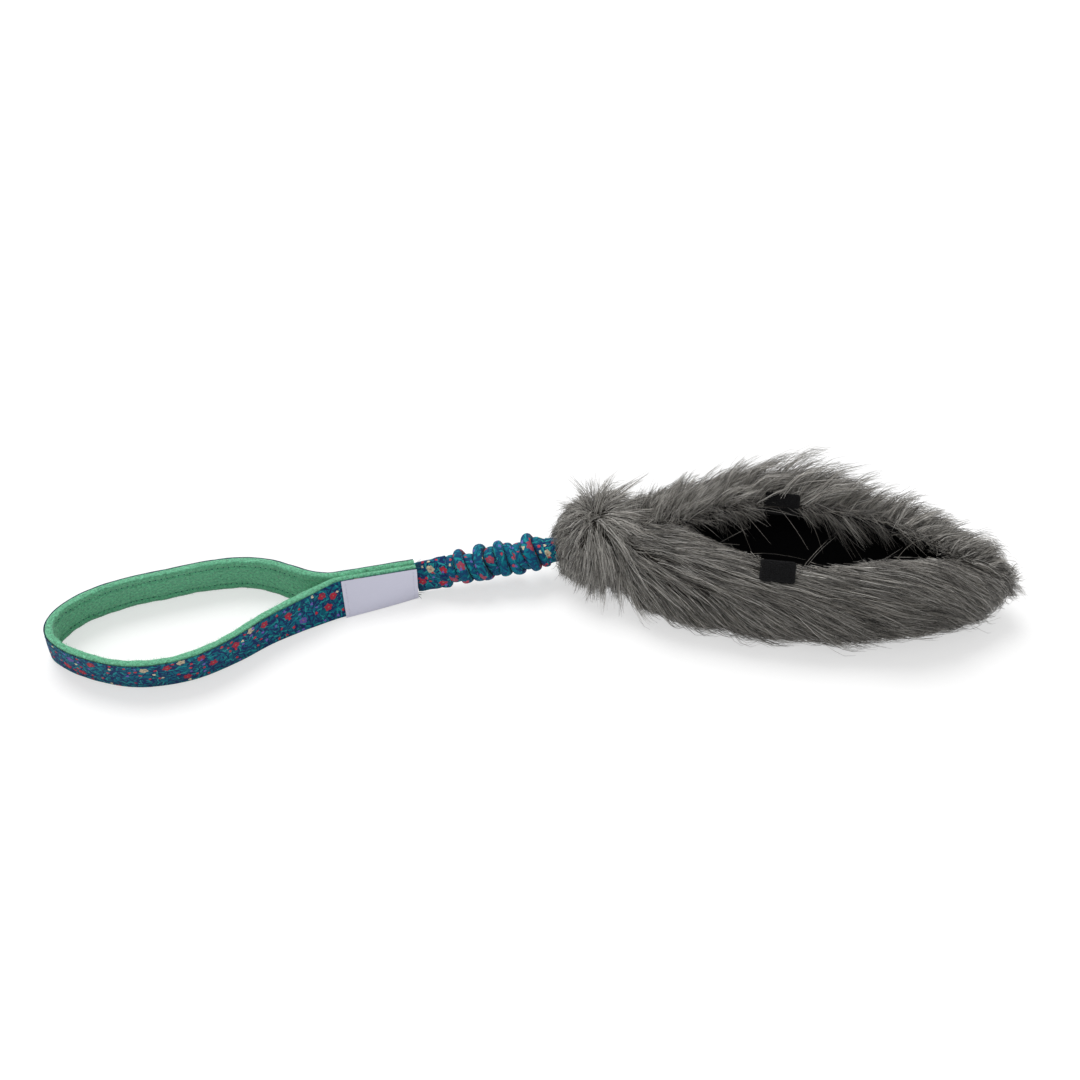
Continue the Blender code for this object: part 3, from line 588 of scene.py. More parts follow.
def fleece_fibre():
    """Loose mint fibres."""
    finish = Finish("fleece_fibre")
    grain = finish.noise(finish.solid(), 900.0, 2.0)
    mint = loop_values().fleece
    finish.set(Base_Color=finish.mix(grain, mint, scaled(mint, 1.35)),
               Roughness=finish.spread(grain, 0.8, 1.0), Sheen_Weight=0.3)
    return finish.material


def label_satin():
    """Bare satin with a fine weave along its length and soft creases."""
    values = loop_values()
    finish = Finish("label_satin")
    surface = finish.surface()
    stretched = finish.node("Mapping", {"Vector": surface, "Scale": (0.5, 14.0, 1.0)})
    grain = finish.noise(stretched.outputs[0], 4.0, 3.0)
    creases = finish.noise(surface, 0.9, 2.0, 0.4)
    tone = finish.mix(finish.spread(grain, 0.2, 0.8), scaled(values.satin, 0.86),
                      values.satin)
    height = finish.math("ADD", finish.math("MULTIPLY", grain, 0.25), creases)
    finish.bump(height, 0.35, 0.0010)
    finish.set(Base_Color=tone, Roughness=finish.spread(creases, 0.34, 0.5),
               Anisotropic=0.4, Sheen_Weight=0.1)
    return finish.material


def ribbed_webbing():
    """Webbing with ribs across its length."""
    values = loop_values()
    finish = Finish("ribbed_webbing")
    surface = finish.surface()
    axes = finish.node("SeparateXYZ", {"Vector": surface}).outputs
    height = finish.math("MULTIPLY", finish.wave(axes[0], TURN * 9.0),
                         finish.wave(axes[1], TURN * 6.0))
    fuzz = finish.noise(surface, 12.0, 3.0)
    tone = finish.mix(finish.spread(fuzz, 0.0, 0.6), values.webbing,
                      scaled(values.webbing, 2.2))
    finish.bump(height, 0.5, 0.0004)
    finish.set(Base_Color=tone, Roughness=finish.spread(fuzz, 0.75, 0.9))
    return finish.material


def thread_finish(name, first, second, smoothest, roughest, **settings):
    """Twisted thread in two tones."""
    finish = Finish(name)
    grain = finish.noise(finish.solid(), 2600.0, 2.0)
    finish.set(Base_Color=finish.mix(grain, first, second),
               Roughness=finish.spread(grain, smoothest, roughest), **settings)
    finish.bump(grain, 0.4, 0.0001)
    return finish.material


def sewing_thread():
    """Dark sewing thread."""
    thread = loop_values().thread
    return thread_finish("sewing_thread", thread, scaled(thread, 1.9, 0.01), 0.5, 0.75,
                         Specular_IOR_Level=0.25)


def satin_thread():
    """Pale thread that matches the label."""
    satin = loop_values().satin
    return thread_finish("satin_thread", scaled(satin, 0.72), satin, 0.45, 0.7)


def braided_elastic():
    """Pale elastic cord with a fine braid."""
    finish = Finish("braided_elastic")
    surface = finish.surface()
    axes = finish.node("SeparateXYZ", {"Vector": surface}).outputs[:2]
    braid = finish.math("MULTIPLY", finish.wave(finish.math("ADD", *axes), 40.0),
                        finish.wave(finish.math("SUBTRACT", *axes), 40.0))
    pale = bungee_values().elastic
    finish.set(Base_Color=finish.mix(finish.spread(braid, 0.2, 0.9), scaled(pale, 0.7), pale),
               Roughness=finish.spread(braid, 0.6, 0.8))
    finish.bump(braid, 0.5, 0.0004)
    return finish.material


def lining_cloth():
    """Near-black lining cloth, a little lighter where its folds rise."""
    finish = Finish("lining_cloth")
    solid = finish.solid()
    fold_noise = finish.noise(solid, 90.0, 4.0, 0.6)
    weave = finish.noise(solid, 1300.0, 2.0)
    dark = pouch_values().lining
    # The colour is a little lighter where the same noise raises the folds.
    finish.set(Base_Color=finish.mix(finish.spread(fold_noise, 0.0, 0.7), dark,
                                     scaled(dark, 2.2, 0.003)),
               Roughness=finish.spread(weave, 0.82, 0.96), Specular_IOR_Level=0.06)
    folds = finish.math("ADD", fold_noise, finish.math("MULTIPLY", weave, 0.15))
    finish.bump(folds, 0.5, 0.0022)
    return finish.material


def loop_tape():
    """Black hook and loop tape."""
    finish = Finish("loop_tape")
    solid = finish.solid()
    loops = finish.node("TexVoronoi", {"Vector": solid, "Scale": 1100.0}).outputs["Distance"]
    lint = finish.noise(solid, 420.0, 3.0)
    dark = pouch_values().tape
    finish.set(Base_Color=finish.mix(finish.spread(lint, 0.0, 0.5), dark,
                                     scaled(dark, 3.0, 0.004)),
               Roughness=finish.spread(loops, 0.75, 0.95), Specular_IOR_Level=0.12)
    finish.bump(loops, 0.7, 0.0006)
    return finish.material


def fur_backing():
    """Dark knitted backing under the fur."""
    finish = Finish("fur_backing")
    solid = finish.solid()
    combed = finish.node("Mapping", {"Vector": solid, "Scale": (60.0, 420.0, 420.0)})
    grain = finish.noise(combed.outputs[0], 1.0, 4.0, 0.6)
    base = pouch_values().backing
    finish.set(Base_Color=finish.mix(grain, scaled(base, 0.4), base),
               Roughness=finish.spread(grain, 0.85, 0.97), Specular_IOR_Level=0.1)
    finish.bump(grain, 0.9, 0.0015)
    return finish.material


def fur_strands():
    """Fur whose colour runs from root to tip and changes from lock to lock."""
    values = fur_values()
    finish = Finish("fur_strands")
    tone = finish.node("Attribute", attribute_name="fur_tone")
    parts = finish.node("SeparateColor", {"Color": tone.outputs["Color"]}).outputs
    hue = finish.ramp(parts[0], ((0.0, values.dark), (0.50, values.middle),
                                 (1.0, values.light)))
    # Painted shade: each strand darkens towards its root, deep in the fur.
    root = finish.ramp(parts[1], ((0.0, display(84, 83, 82)), (0.35, display(208, 207, 206)),
                                  (1.0, display(255, 255, 255))))
    warm_tone = tuple(a * b for a, b in zip(values.middle, (1.06, 1.0, 0.90)))
    warm = finish.mix(parts[2], hue, warm_tone)
    finish.set(Base_Color=finish.mix(1.0, warm, root, "MULTIPLY"),
               Roughness=finish.spread(parts[2], 0.42, 0.60), Specular_IOR_Level=0.35,
               Sheen_Weight=0.15)
    return finish.material


MAKERS = {maker.__name__: maker for maker in (
    printed_cotton, brushed_fleece, fleece_fibre, label_satin, ribbed_webbing, sewing_thread,
    satin_thread, braided_elastic, lining_cloth, loop_tape, fur_backing, fur_strands)}


def finish_named(name):
    """A material, made the first time that it is asked for."""
    return bpy.data.materials.get(name) or MAKERS[name]()


# Mesh tools


def show(name, bm, material, smooth=50.0):
    """Turn a bmesh into a piece of the toy."""
    mesh = bpy.data.meshes.new(name)
    bm.to_mesh(mesh)
    bm.free()
    mesh.shade_smooth()
    mesh.set_sharp_from_angle(angle=math.radians(smooth))
    return show_mesh(name, mesh, material)


def show_mesh(name, mesh, material):
    """Link a finished mesh as a piece, with its material."""
    mesh.materials.append(finish_named(material))
    piece = bpy.data.objects.new(name, mesh)
    bpy.context.scene.collection.objects.link(piece)
    return piece


def box_form(size):
    """A box of a size about the origin."""
    bm = bmesh.new()
    bmesh.ops.create_cube(bm, size=1.0)
    bmesh.ops.scale(bm, vec=size, verts=bm.verts)
    return bm


def bevel(bm, edges, offset, segments):
    """Round some edges off."""
    bmesh.ops.bevel(bm, geom=edges, offset=offset, segments=segments, profile=0.5,
                    affect="EDGES", material=-1)


def bead(bm, matrix):
    """A small round bead, stretched and placed by a matrix."""
    bmesh.ops.create_icosphere(bm, subdivisions=1, radius=1.0, matrix=matrix)


def kept_number(number):
    return number


def travelled(points):
    """Distance along a row of points, from 0."""
    steps = np.linalg.norm(np.diff(points, axis=0), axis=1)
    return np.concatenate([[0.0], np.cumsum(steps)])


def rows_at(targets, distance, rows):
    """Rows at the targets, in between rows at the given distances."""
    return np.stack([np.interp(targets, distance, column) for column in rows.T], axis=1)


def ring_turns(number):
    """Angles of the points round a ring."""
    return np.linspace(0.0, TURN, number, endpoint=False)


def unit(vectors):
    """Vectors at length 1."""
    return vectors / np.maximum(np.linalg.norm(vectors, axis=-1, keepdims=True), 1e-9)


def ring_form(rings, folds=None):
    """A closed form through rings of points, from a grid that is wrapped round them.

    Its UV map is in centimetres of cloth: along the rings, and round the mean ring.
    Folds give each ring painted shade for valley depth and painted highlight near a crest.
    """
    stations, sides = rings.shape[:2]
    along = np.linalg.norm(np.diff(rings, axis=0), axis=2).mean(axis=1)
    along = np.concatenate([[0.0], np.cumsum(along)]) * CENTIMETRES
    mean = np.concatenate([rings, rings[:, :1]], axis=1)
    around = np.linalg.norm(np.diff(mean, axis=1), axis=2).mean(axis=0)
    around = np.concatenate([[0.0], np.cumsum(around)]) * CENTIMETRES
    bm = bmesh.new()
    layer = bm.loops.layers.uv.new("UVMap")
    bmesh.ops.create_grid(bm, x_segments=stations - 1, y_segments=sides, size=1.0)

    def indices(vert):
        row = round((vert.co.x + 1.0) / 2.0 * (stations - 1))
        return row, round((vert.co.y + 1.0) / 2.0 * sides)

    for face in bm.faces:
        for corner in face.loops:
            row, side = indices(corner.vert)
            corner[layer].uv = (along[row], around[side])
    # The folds are stored as painted shade and painted highlight for the cotton's colour.
    shade = bm.verts.layers.float_color.new("fold_shade_and_highlight") if folds is not None else None
    for vert in bm.verts:
        row, side = indices(vert)
        vert.co = rings[row, side % sides]
        if shade is not None:
            vert[shade] = (*folds[row], 0.0, 1.0)
    bmesh.ops.remove_doubles(bm, verts=bm.verts, dist=MERGE)
    rims = [edge for edge in bm.edges if edge.is_boundary]
    bmesh.ops.holes_fill(bm, edges=rims, sides=0)
    bmesh.ops.recalc_face_normals(bm, faces=bm.faces)
    return bm


def smooth_rows(rows, steps):
    """Evenly spread rows of a smooth curve through the given ones, by their first two values."""
    rows = np.array(rows, float)
    padded = np.vstack([rows[:1], rows, rows[-1:]])
    t = np.linspace(0.0, 1.0, 12, endpoint=False)[:, None]
    fine = []
    for before, start, end, after in zip(padded, padded[1:], padded[2:], padded[3:]):
        fine.append(0.5 * (2.0 * start + (end - before) * t
                           + (2.0 * before - 5.0 * start + 4.0 * end - after) * t ** 2
                           + (3.0 * start - before - 3.0 * end + after) * t ** 3))
    fine = np.vstack([*fine, rows[-1:]])
    distance = travelled(fine[:, :2])
    return rows_at(np.linspace(0.0, distance[-1], steps + 1), distance, fine)


def rounded_outline(points, sides):
    """A closed outline with its corners cut twice, spread over a number of points."""
    outline = np.array(points, float)
    for _ in range(2):
        following = np.roll(outline, -1, axis=0)
        cut = np.stack([0.8 * outline + 0.2 * following, 0.2 * outline + 0.8 * following], 1)
        outline = cut.reshape(-1, outline.shape[1])
    loop = np.vstack([outline, outline[:1]])
    distance = travelled(loop)
    targets = np.linspace(0.0, distance[-1], sides, endpoint=False)
    return rows_at(targets, distance, loop)


def ease(value):
    """A smooth step from 0 to 1."""
    value = np.clip(value, 0.0, 1.0)
    return value * value * (3.0 - 2.0 * value)


def ripple(points, scale, seed):
    """Smooth, repeatable bumps from -1 to 1 at points in metres."""
    x, y, z = (points[..., axis] * scale for axis in range(3))
    return (np.sin(x * 1.3 + 2.1 * np.sin(y * 0.9 + seed) + seed)
            * np.cos(z * 1.7 + 1.3 * np.sin(x * 1.1 - seed))
            + np.sin(y * 1.9 - 1.7 * np.cos(z * 1.3 + seed))) / 2.0


# Places that several pieces share


def bungee_frame():
    """Unit vectors along the bungee to the pouch, to its side, and above it."""
    values = bungee_values()
    level = math.cos(values.pitch)
    along = Vector((level * math.cos(values.yaw), level * math.sin(values.yaw),
                    math.sin(values.pitch)))
    side = Vector(UP).cross(along).normalized()
    return along, side, along.cross(side)


def neck_point():
    """A point on the bend axis at the pouch."""
    values = bungee_values()
    return Vector((values.neck_x, values.neck_y, values.neck_z))


def swing_point():
    """A point on the hand loop's swing axis."""
    return neck_point() - bungee_frame()[0] * bungee_values().length_between


def handle_frame():
    """Origin on the floor under the swing axis, and unit vectors of the handle's plan."""
    values = bungee_values()
    yaw = values.yaw + values.handle_turn
    origin = swing_point()
    origin.z = 0.0
    away = Vector((-math.cos(yaw), -math.sin(yaw), 0.0))
    return origin, away, Vector((-math.sin(yaw), math.cos(yaw), 0.0))


# Hand loop


def layer_faces():
    """Distances from the webbing's middle to its face and to the cover's two faces."""
    values = loop_values()
    webbing = values.webbing_thickness / 2.0
    return webbing, webbing + values.gap, webbing + values.gap + values.cover_thickness


def seam_rows():
    """Rows of the front tail: along the handle, to the side, lean, and fleece share."""
    values = loop_values()
    pressed = values.fleece_pile * values.pressed
    offset = (bungee_values().cord_flat_thickness / 2.0 + values.gap + pressed + values.gap
              + values.webbing_thickness / 2.0)
    start, end = values.seam_setback, values.seam_setback + values.seam_length
    full = values.seam_lean * values.band_width
    return [(where, -offset, full * (where - start) / values.seam_length, 0.0)
            for where in (start, (start + end) / 2.0, end)]


def band_rows():
    """Rows of the whole band, from the front tail round the loop to the back tail."""
    values = loop_values()
    front = seam_rows()
    back = [(along, -side, lean, opened) for along, side, lean, opened in reversed(front)]
    seam_end = front[-1][0]
    loop_length = values.handle_length - seam_end
    loop = []
    for beyond, side, lean in LOOP_SHARES:
        along = beyond * loop_length
        opened = ease(along / values.seam_length * 2.0)
        loop.append((seam_end + along, side * values.loop_width, lean * values.band_width,
                     float(opened)))
    return smooth_rows(front + loop + back, values.stations)


def band_points(rows, outs, heights):
    """Points of a layer: a row of outward distances and heights for each row of the path."""
    origin, away, side = (np.array(item) for item in handle_frame())
    plan = rows[:, :2]
    run = np.gradient(plan, axis=0)
    run /= np.linalg.norm(run, axis=1)[:, None]
    outward = np.stack([run[:, 1], -run[:, 0]], axis=1)
    lean = rows[:, 2:3] * (heights / loop_values().band_width - 0.5)
    x = plan[:, :1] + outward[:, :1] * outs
    y = plan[:, 1:] + outward[:, 1:] * outs + lean
    return origin + x[..., None] * away + y[..., None] * side + heights[..., None] * UP


def band_piece(name, outline, rows, material, node, shape=None):
    """One layer of the band: outline gives (outwards, height) points for a fleece share."""
    sections = np.stack([outline(row[3]) for row in rows])
    outs, heights = sections[..., 0], sections[..., 1]
    if shape:
        outs = outs + shape(rows, outs, heights)
    piece = show(name, ring_form(band_points(rows, outs, heights)), material)
    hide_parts(node)
    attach(piece, "handle")
    return piece


def flat_outline(inner, outer, low, points):
    """Section of a flat layer that ends as far from both edges of the band."""
    high = loop_values().band_width - low
    return rounded_outline(((inner, low), (outer, low), (outer, high), (inner, high)), points)


def webbing_outline(_opened):
    """Section of the webbing between the rims."""
    values = loop_values()
    half = layer_faces()[0]
    return flat_outline(-half, half, values.rim_height + values.gap, WEBBING_POINTS)


def cover_outline(_opened):
    """Section of the printed cover."""
    _, inner, outer = layer_faces()
    return flat_outline(inner, outer, loop_values().cover_inset, COVER_POINTS)


def pile_depth(opened):
    """Depth of the fleece: pressed in the seam, and full where the loop is open."""
    values = loop_values()
    return values.fleece_pile * (values.pressed + (1.0 - values.pressed) * opened)


def stitch_heights():
    """Heights of the two rows of stitches on the band."""
    values = loop_values()
    return values.stitch_inset, values.band_width - values.stitch_inset


def fleece_outline(opened):
    """Section of the fleece: inside the webbing, and rolled over both of its edges."""
    values = loop_values()
    half, cover, _ = layer_faces()
    face = -half - values.gap
    inner = face - pile_depth(opened)
    outer = cover - values.gap / 2.0
    rim = values.rim_height
    top = values.band_width
    corner = rim * values.rim_rounding
    return rounded_outline((
        (inner, corner), (inner + corner, 0.0), (outer - corner, 0.0), (outer, corner),
        (outer, rim), (face, rim), (face, top - rim), (outer, top - rim),
        (outer, top - corner), (outer - corner, top), (inner + corner, top),
        (inner, top - corner)), FLEECE_POINTS)


def cover_pucker(rows, outs, heights):
    """Small tucks where the stitches draw the cover in."""
    values = loop_values()
    along = travelled(rows[:, :2])[:, None]
    pull = np.zeros_like(outs)
    for height in stitch_heights():
        near = np.exp(-((heights - height) / 0.0011) ** 2)
        pull += near * (0.6 + 0.4 * np.cos(TURN * along / values.stitch_pitch))
    _, inner, outer = layer_faces()
    slack = 0.00022 * np.sin(along * 210.0 + heights * 160.0) * np.sin(along * 83.0)
    return np.where(outs > (inner + outer) / 2.0, -0.00014 * pull + np.abs(slack), 0.0)


def fleece_lumps(rows, outs, heights):
    """Uneven pile on the inner face, grooves at the stitches, and puffed edges in the seam."""
    values = loop_values()
    along = travelled(rows[:, :2])[:, None]
    face = -layer_faces()[0] - values.gap
    inner = np.clip((face - outs) / 0.0008, 0.0, 1.0)
    opened = rows[:, 3:4]
    lumps = (np.sin(along * 1900.0 + 3.0 * np.sin(heights * 1100.0))
             * np.sin(heights * 1700.0 + 2.0 * np.sin(along * 1310.0)))
    swell = np.sin(along * 190.0 + heights * 120.0) + 0.6 * np.sin(along * 471.0 - 2.0)
    shape = opened * (0.00016 * lumps + 0.00022 * swell)
    for height in stitch_heights():
        shape = shape + opened * values.groove * np.exp(-((heights - height) / 0.0008) ** 2)
    middle = np.abs(heights - values.band_width / 2.0)
    cord = bungee_values()
    spare = cord.cord_flat_thickness / 2.0 + values.gap - 0.00005
    puffed = ease((middle - cord.cord_flat_width * 0.58) / 0.002) * (1.0 - opened)
    return inner * (shape - spare * puffed)


class TUG_OT_hand_loop(bpy.types.Operator):
    """Build the three layers of the hand loop and the stitches that hold them"""

    bl_idname = "tug.hand_loop"
    bl_label = "Hand Loop"

    def execute(self, context):
        rows = band_rows()
        band_piece("webbing_core", webbing_outline, rows, "ribbed_webbing",
                   "handle_webbing")
        band_piece("printed_cover", cover_outline, rows, "printed_cotton",
                   "handle_print_cover", cover_pucker)
        band_piece("fleece_inside", fleece_outline, rows, "brushed_fleece",
                   "handle_fleece_lining", fleece_lumps)
        self.stitches(rows)
        self.fuzz(rows)
        return {"FINISHED"}

    def fuzz(self, rows):
        """Short loose fibres that stand out of the fleece and soften its edges."""
        values = loop_values()
        random = np.random.RandomState(19)
        number = FIBRES
        where = np.sort(random.uniform(2.0, len(rows) - 3.0, number))
        path = rows_at(where, np.arange(len(rows)), rows)
        inner = layer_faces()[0] + values.gap + pile_depth(path[:, 3])
        top = values.band_width
        edge = random.uniform(0.0, 1.0, number) < 0.62
        outs = np.where(edge, random.uniform(-1.0, 0.0, number) * inner + 0.0002,
                        -inner + 0.0003)
        heights = np.where(edge, np.where(random.uniform(0.0, 1.0, number) < 0.75, top, 0.0),
                           random.uniform(0.0, top, number))
        roots = band_points(path, outs[:, None], heights[:, None])[:, 0]
        outer = band_points(path, outs[:, None] - 0.001, heights[:, None])[:, 0]
        rise = np.where(heights > top * 0.9, 1.0, np.where(heights < top * 0.1, 0.0, 0.2))
        side = np.where(edge, random.uniform(-0.2, 1.0, number), 1.0)
        heading = unit(outer - roots) * side[:, None]
        heading = heading + random.normal(0.0, 0.35, (number, 3))
        heading[:, 2] += rise
        heading = unit(heading)
        lengths = random.uniform(0.0007, 0.0016, number)
        paths = hairs(roots - heading * 0.0002, heading, lengths, 0.0, 2)
        paths[..., 2] = np.clip(paths[..., 2], 0.0002, top + 0.0012)
        piece = thread_piece("fleece_fuzz", paths, FIBRE_RADIUS, "fleece_fibre")
        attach(piece, "handle")

    def stitches(self, rows):
        """Two rows of short stitches along the printed face, and along the fleece."""
        values = loop_values()
        distance = travelled(rows[:, :2])
        print_out = layer_faces()[2] - STITCH_SINK
        fleece_out = values.groove * 0.62 - (layer_faces()[0] + values.gap
                                             + values.fleece_pile)
        bm = bmesh.new()
        number = int(distance[-1] / values.stitch_pitch) - 1
        middles = (np.arange(number) + 1.0) * values.stitch_pitch
        for height in stitch_heights():
            for out, least_open, thread in ((print_out, -1.0, 1.0), (fleece_out, 0.9, 1.35)):
                ends = []
                for shift in (-0.5, 0.5):
                    path = rows_at(middles + shift * values.stitch_length, distance, rows)
                    path = path[path[:, 3] > least_open]
                    outs = np.full((len(path), 1), out)
                    ends.append(band_points(path, outs, np.full(outs.shape, height))[:, 0])
                for start, end in zip(*ends):
                    thread_stitch(bm, Vector(start), Vector(end),
                                  values.stitch_radius * thread)
        piece = show("band_stitches", bm, "sewing_thread", 80.0)
        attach(piece, "handle")


def thread_stitch(bm, start, end, radius):
    """One rounded stitch between two points."""
    run = end - start
    turn = run.to_track_quat("Z", "Y").to_matrix().to_4x4()
    size = Matrix.Diagonal((radius, radius, run.length / 2.0, 1.0))
    bead(bm, Matrix.Translation((start + end) / 2.0) @ turn @ size)


# Label


class TUG_OT_label(bpy.types.Operator):
    """Build the bare satin label, its seam and the frayed ends beside it"""

    bl_idname = "tug.label"
    bl_label = "Label"

    def execute(self, context):
        values = loop_values()
        rows = smooth_rows(seam_rows(), LABEL_STATIONS)
        rows = rows[rows[:, 0] <= values.seam_setback + values.label_length]
        inner = layer_faces()[2] + values.gap
        low = (values.band_width - values.label_height) / 2.0
        outer = inner + values.label_thickness

        def outline(_opened):
            return flat_outline(inner, outer, low, LABEL_POINTS)

        def slack(path, outs, heights):
            along = (path[:, :1] - path[0, 0]) / (path[-1, 0] - path[0, 0])
            across = (heights - low) / values.label_height
            bulge = np.sin(math.pi * along) * (0.00035 + 0.00030 * np.sin(across * 5.0))
            hem = 0.00022 * (np.exp(-(along / 0.05) ** 2)
                             + np.exp(-((1.0 - along) / 0.05) ** 2))
            return bulge + np.where(outs > (inner + outer) / 2.0, hem, 0.0)

        band_piece("satin_label", outline, rows, "label_satin", "label", slack)
        self.seam(rows, outer + LABEL_STITCH_RISE, low + LABEL_STITCH_INSET)
        self.fray(rows)
        return {"FINISHED"}

    def seam(self, rows, out, low):
        """A row of stitches down each end of the label."""
        bm = bmesh.new()
        high = loop_values().band_width - low
        for near in (rows[2:5], rows[-5:-2]):
            heights = np.tile(np.linspace(low, high, LABEL_STITCHES + 1), (3, 1))
            points = band_points(near, np.full(heights.shape, out), heights)[1]
            for start, end in zip(points[:-1], points[1:]):
                middle = Vector(start).lerp(Vector(end), 0.78)
                thread_stitch(bm, Vector(start), middle, LABEL_STITCH_RADIUS)
        piece = show("label_stitches", bm, "satin_thread", 80.0)
        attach(piece, "handle")

    def fray(self, rows):
        """Loose thread ends at the seam's corner, above and below the label."""
        random = np.random.RandomState(11)
        values = loop_values()
        paths = []
        for number in range(FRAYED):
            upper = number < FRAYED_ABOVE
            height = values.band_width if upper else 0.0014
            out = random.uniform(-0.0016, 0.0014)
            root = band_points(rows[:2], np.full((2, 1), out), np.full((2, 1), height))[0, 0]
            reach = random.uniform(0.002, 0.0062) if upper else random.uniform(0.002, 0.0045)
            heading = np.array((random.uniform(0.1, 1.0), random.uniform(-0.5, 0.5),
                                random.uniform(0.1, 0.8) if upper else 0.0))
            heading /= np.linalg.norm(heading)
            steps = np.linspace(0.0, 1.0, 5)[:, None]
            curl = random.uniform(-1.0, 1.0, 3) * 0.0012
            path = root + heading * reach * steps + curl * steps ** 2
            path[:, 2] = np.maximum(path[:, 2], 0.0004)
            paths.append(path)
        piece = thread_piece("seam_fray", np.array(paths), FRAY_RADIUS, "sewing_thread")
        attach(piece, "handle")


# Threads and strands


def hairs(roots, headings, lengths, curl, parts):
    """Paths of hairs that leave their roots along headings and curl off to the side."""
    steps = np.linspace(0.0, 1.0, parts + 1)[None, :, None]
    return roots[:, None] + lengths[:, None, None] * (headings[:, None] * steps
                                                      + curl * steps ** 2)


def thread_piece(name, paths, radius, material, tones=None):
    """Many thin tapered strands in one piece, from curves with a three-sided bevel."""
    profile_curve = bpy.data.curves.new(name + "_profile", "CURVE")
    spline = profile_curve.splines.new("POLY")
    spline.points.add(2)
    for point, turn in zip(spline.points, ring_turns(3)):
        point.co = (math.cos(turn) * radius, math.sin(turn) * radius, 0.0, 1.0)
    spline.use_cyclic_u = True
    profile = bpy.data.objects.new(name + "_profile", profile_curve)
    curve = bpy.data.curves.new(name + "_curve", "CURVE")
    curve.dimensions = "3D"
    curve.bevel_mode = "OBJECT"
    curve.bevel_object = profile
    curve.use_fill_caps = True
    number, points = paths.shape[:2]
    along = np.linspace(0.0, 1.0, points)
    widths = (1.0 - 0.75 * along ** 1.6) * np.where(along == 0.0, 0.8, 1.0)
    widths = widths.astype(np.float32)
    corners = np.ones((number, points, 4), np.float32)
    corners[..., :3] = paths
    for path in corners:
        strand = curve.splines.new("POLY")
        strand.points.add(points - 1)
        strand.points.foreach_set("co", path.ravel())
        strand.points.foreach_set("radius", widths)
    holder = bpy.data.objects.new(name + "_curve", curve)
    for item in (profile, holder):
        bpy.context.scene.collection.objects.link(item)
    graph = bpy.context.evaluated_depsgraph_get()
    mesh = bpy.data.meshes.new_from_object(holder.evaluated_get(graph))
    for item, data in ((profile, profile_curve), (holder, curve)):
        bpy.data.objects.remove(item)
        bpy.data.curves.remove(data)
    mesh.name = name
    face_outwards(mesh)
    mesh.shade_smooth()
    if tones is not None:
        paint(mesh, tones, points)
    return show_mesh(name, mesh, material)


def face_outwards(mesh):
    """Turn the faces round if the mesh encloses a negative volume."""
    bm = bmesh.new()
    bm.from_mesh(mesh)
    volume = bm.calc_volume(signed=True)
    bm.free()
    if volume < 0.0:
        mesh.flip_normals()


def paint(mesh, tones, points):
    """Store each strand's tone, its place from root to tip, and its warmth."""
    number = len(tones)
    total = len(mesh.vertices)
    each = total // number
    if each * number != total:
        raise RuntimeError("strands of unlike size in " + mesh.name)
    layer = mesh.color_attributes.new(name="fur_tone", type="FLOAT_COLOR", domain="POINT")
    values = np.ones((number, each, 4), np.float32)
    values[..., 0] = tones[:, 0:1]
    values[..., 1] = np.repeat(np.linspace(0.0, 1.0, points), each // points)[:each]
    values[..., 2] = tones[:, 1:2]
    layer.data.foreach_set("color", values.ravel())


# Bungee


def ruffle_places(first, last):
    """Places of the sleeve's rings, in ruffle units after the ruche starts."""
    steps = max(int(round((last - first) * bungee_values().steps)), 4)
    return np.linspace(first, last, steps + 1)


def sleeve_rings(first, last):
    """Rings of the sleeve between two places, in ruffle units."""
    values = bungee_values()
    q = ruffle_places(first, last)[:, None]
    turn = ring_turns(values.sides)[None, :]
    pitch = values.ruffle_pitch
    ruffle_end = ruffle_count()
    number = np.clip(np.floor(q), 0, len(RUFFLES) - 1).astype(int)
    table = np.array(RUFFLES)
    fullness, heading = table[number][..., 0], table[number][..., 1]
    inside = ease(q * 2.0 + 0.6) * ease((ruffle_end - q) * 1.5 + 0.5)
    crest = np.abs(np.sin(math.pi * q)) ** values.crest
    wobble = 0.11 * np.cos(turn - heading) + 0.05 * np.cos(3.0 * turn + heading * 2.0)
    swell = fullness * (1.0 + wobble)

    where = values.ruche_start + pitch * q
    opened = ease(where / (values.ruche_start + 1.5 * pitch))
    closed = ease((where - values.ruche_start - pitch * (ruffle_end - 0.6)) / pitch)
    full, valley = values.ruche_diameter / 2.0, values.valley_diameter / 2.0
    flat_side = values.flat_thickness / 2.0
    flat_above = values.flat_width / 2.0
    neck = values.neck_diameter / 2.0
    ruffled = valley + (full * swell - valley) * crest
    plain_side = flat_side + (full * 0.93 - flat_side) * opened
    plain_above = flat_above + (full * 0.98 - flat_above) * opened
    half_side = plain_side + (ruffled - plain_side) * inside
    half_above = plain_above + (ruffled - plain_above) * inside
    half_side = half_side + (neck - half_side) * closed
    half_above = half_above + (neck - half_above) * closed
    tip = swing_limit(where)
    half_side = half_side * tip
    half_above = half_above * (0.90 + 0.10 * tip)

    slant = math.tan(values.ruffle_slant) * values.ruche_diameter / 2.0
    gathered = inside * (1.0 - closed)
    folded = -values.overhang * np.sin(TURN * (q - np.floor(q)))
    centres = np.arange(len(RUFFLES)) + 0.5
    turned = [np.interp(q, centres, wave(table[:, 1])) for wave in (np.cos, np.sin)]
    uneven = 0.22 * (np.cos(turn) * turned[1] + np.sin(turn) * turned[0])
    uneven = uneven + 0.08 * np.sin(2.0 * turn + 1.7 * q)
    shifted = where + pitch * (folded + uneven) * gathered
    shifted = shifted - slant * np.sin(turn) * gathered
    along, side, above = (np.array(item) for item in bungee_frame())
    creases = sleeve_creases(q, turn) * (1.0 - 0.6 * inside)
    centre = np.array(swing_point()) + shifted[..., None] * along
    across = (np.cos(turn) * (half_side + creases))[..., None] * side
    return centre + across + (np.sin(turn) * (half_above + creases))[..., None] * above


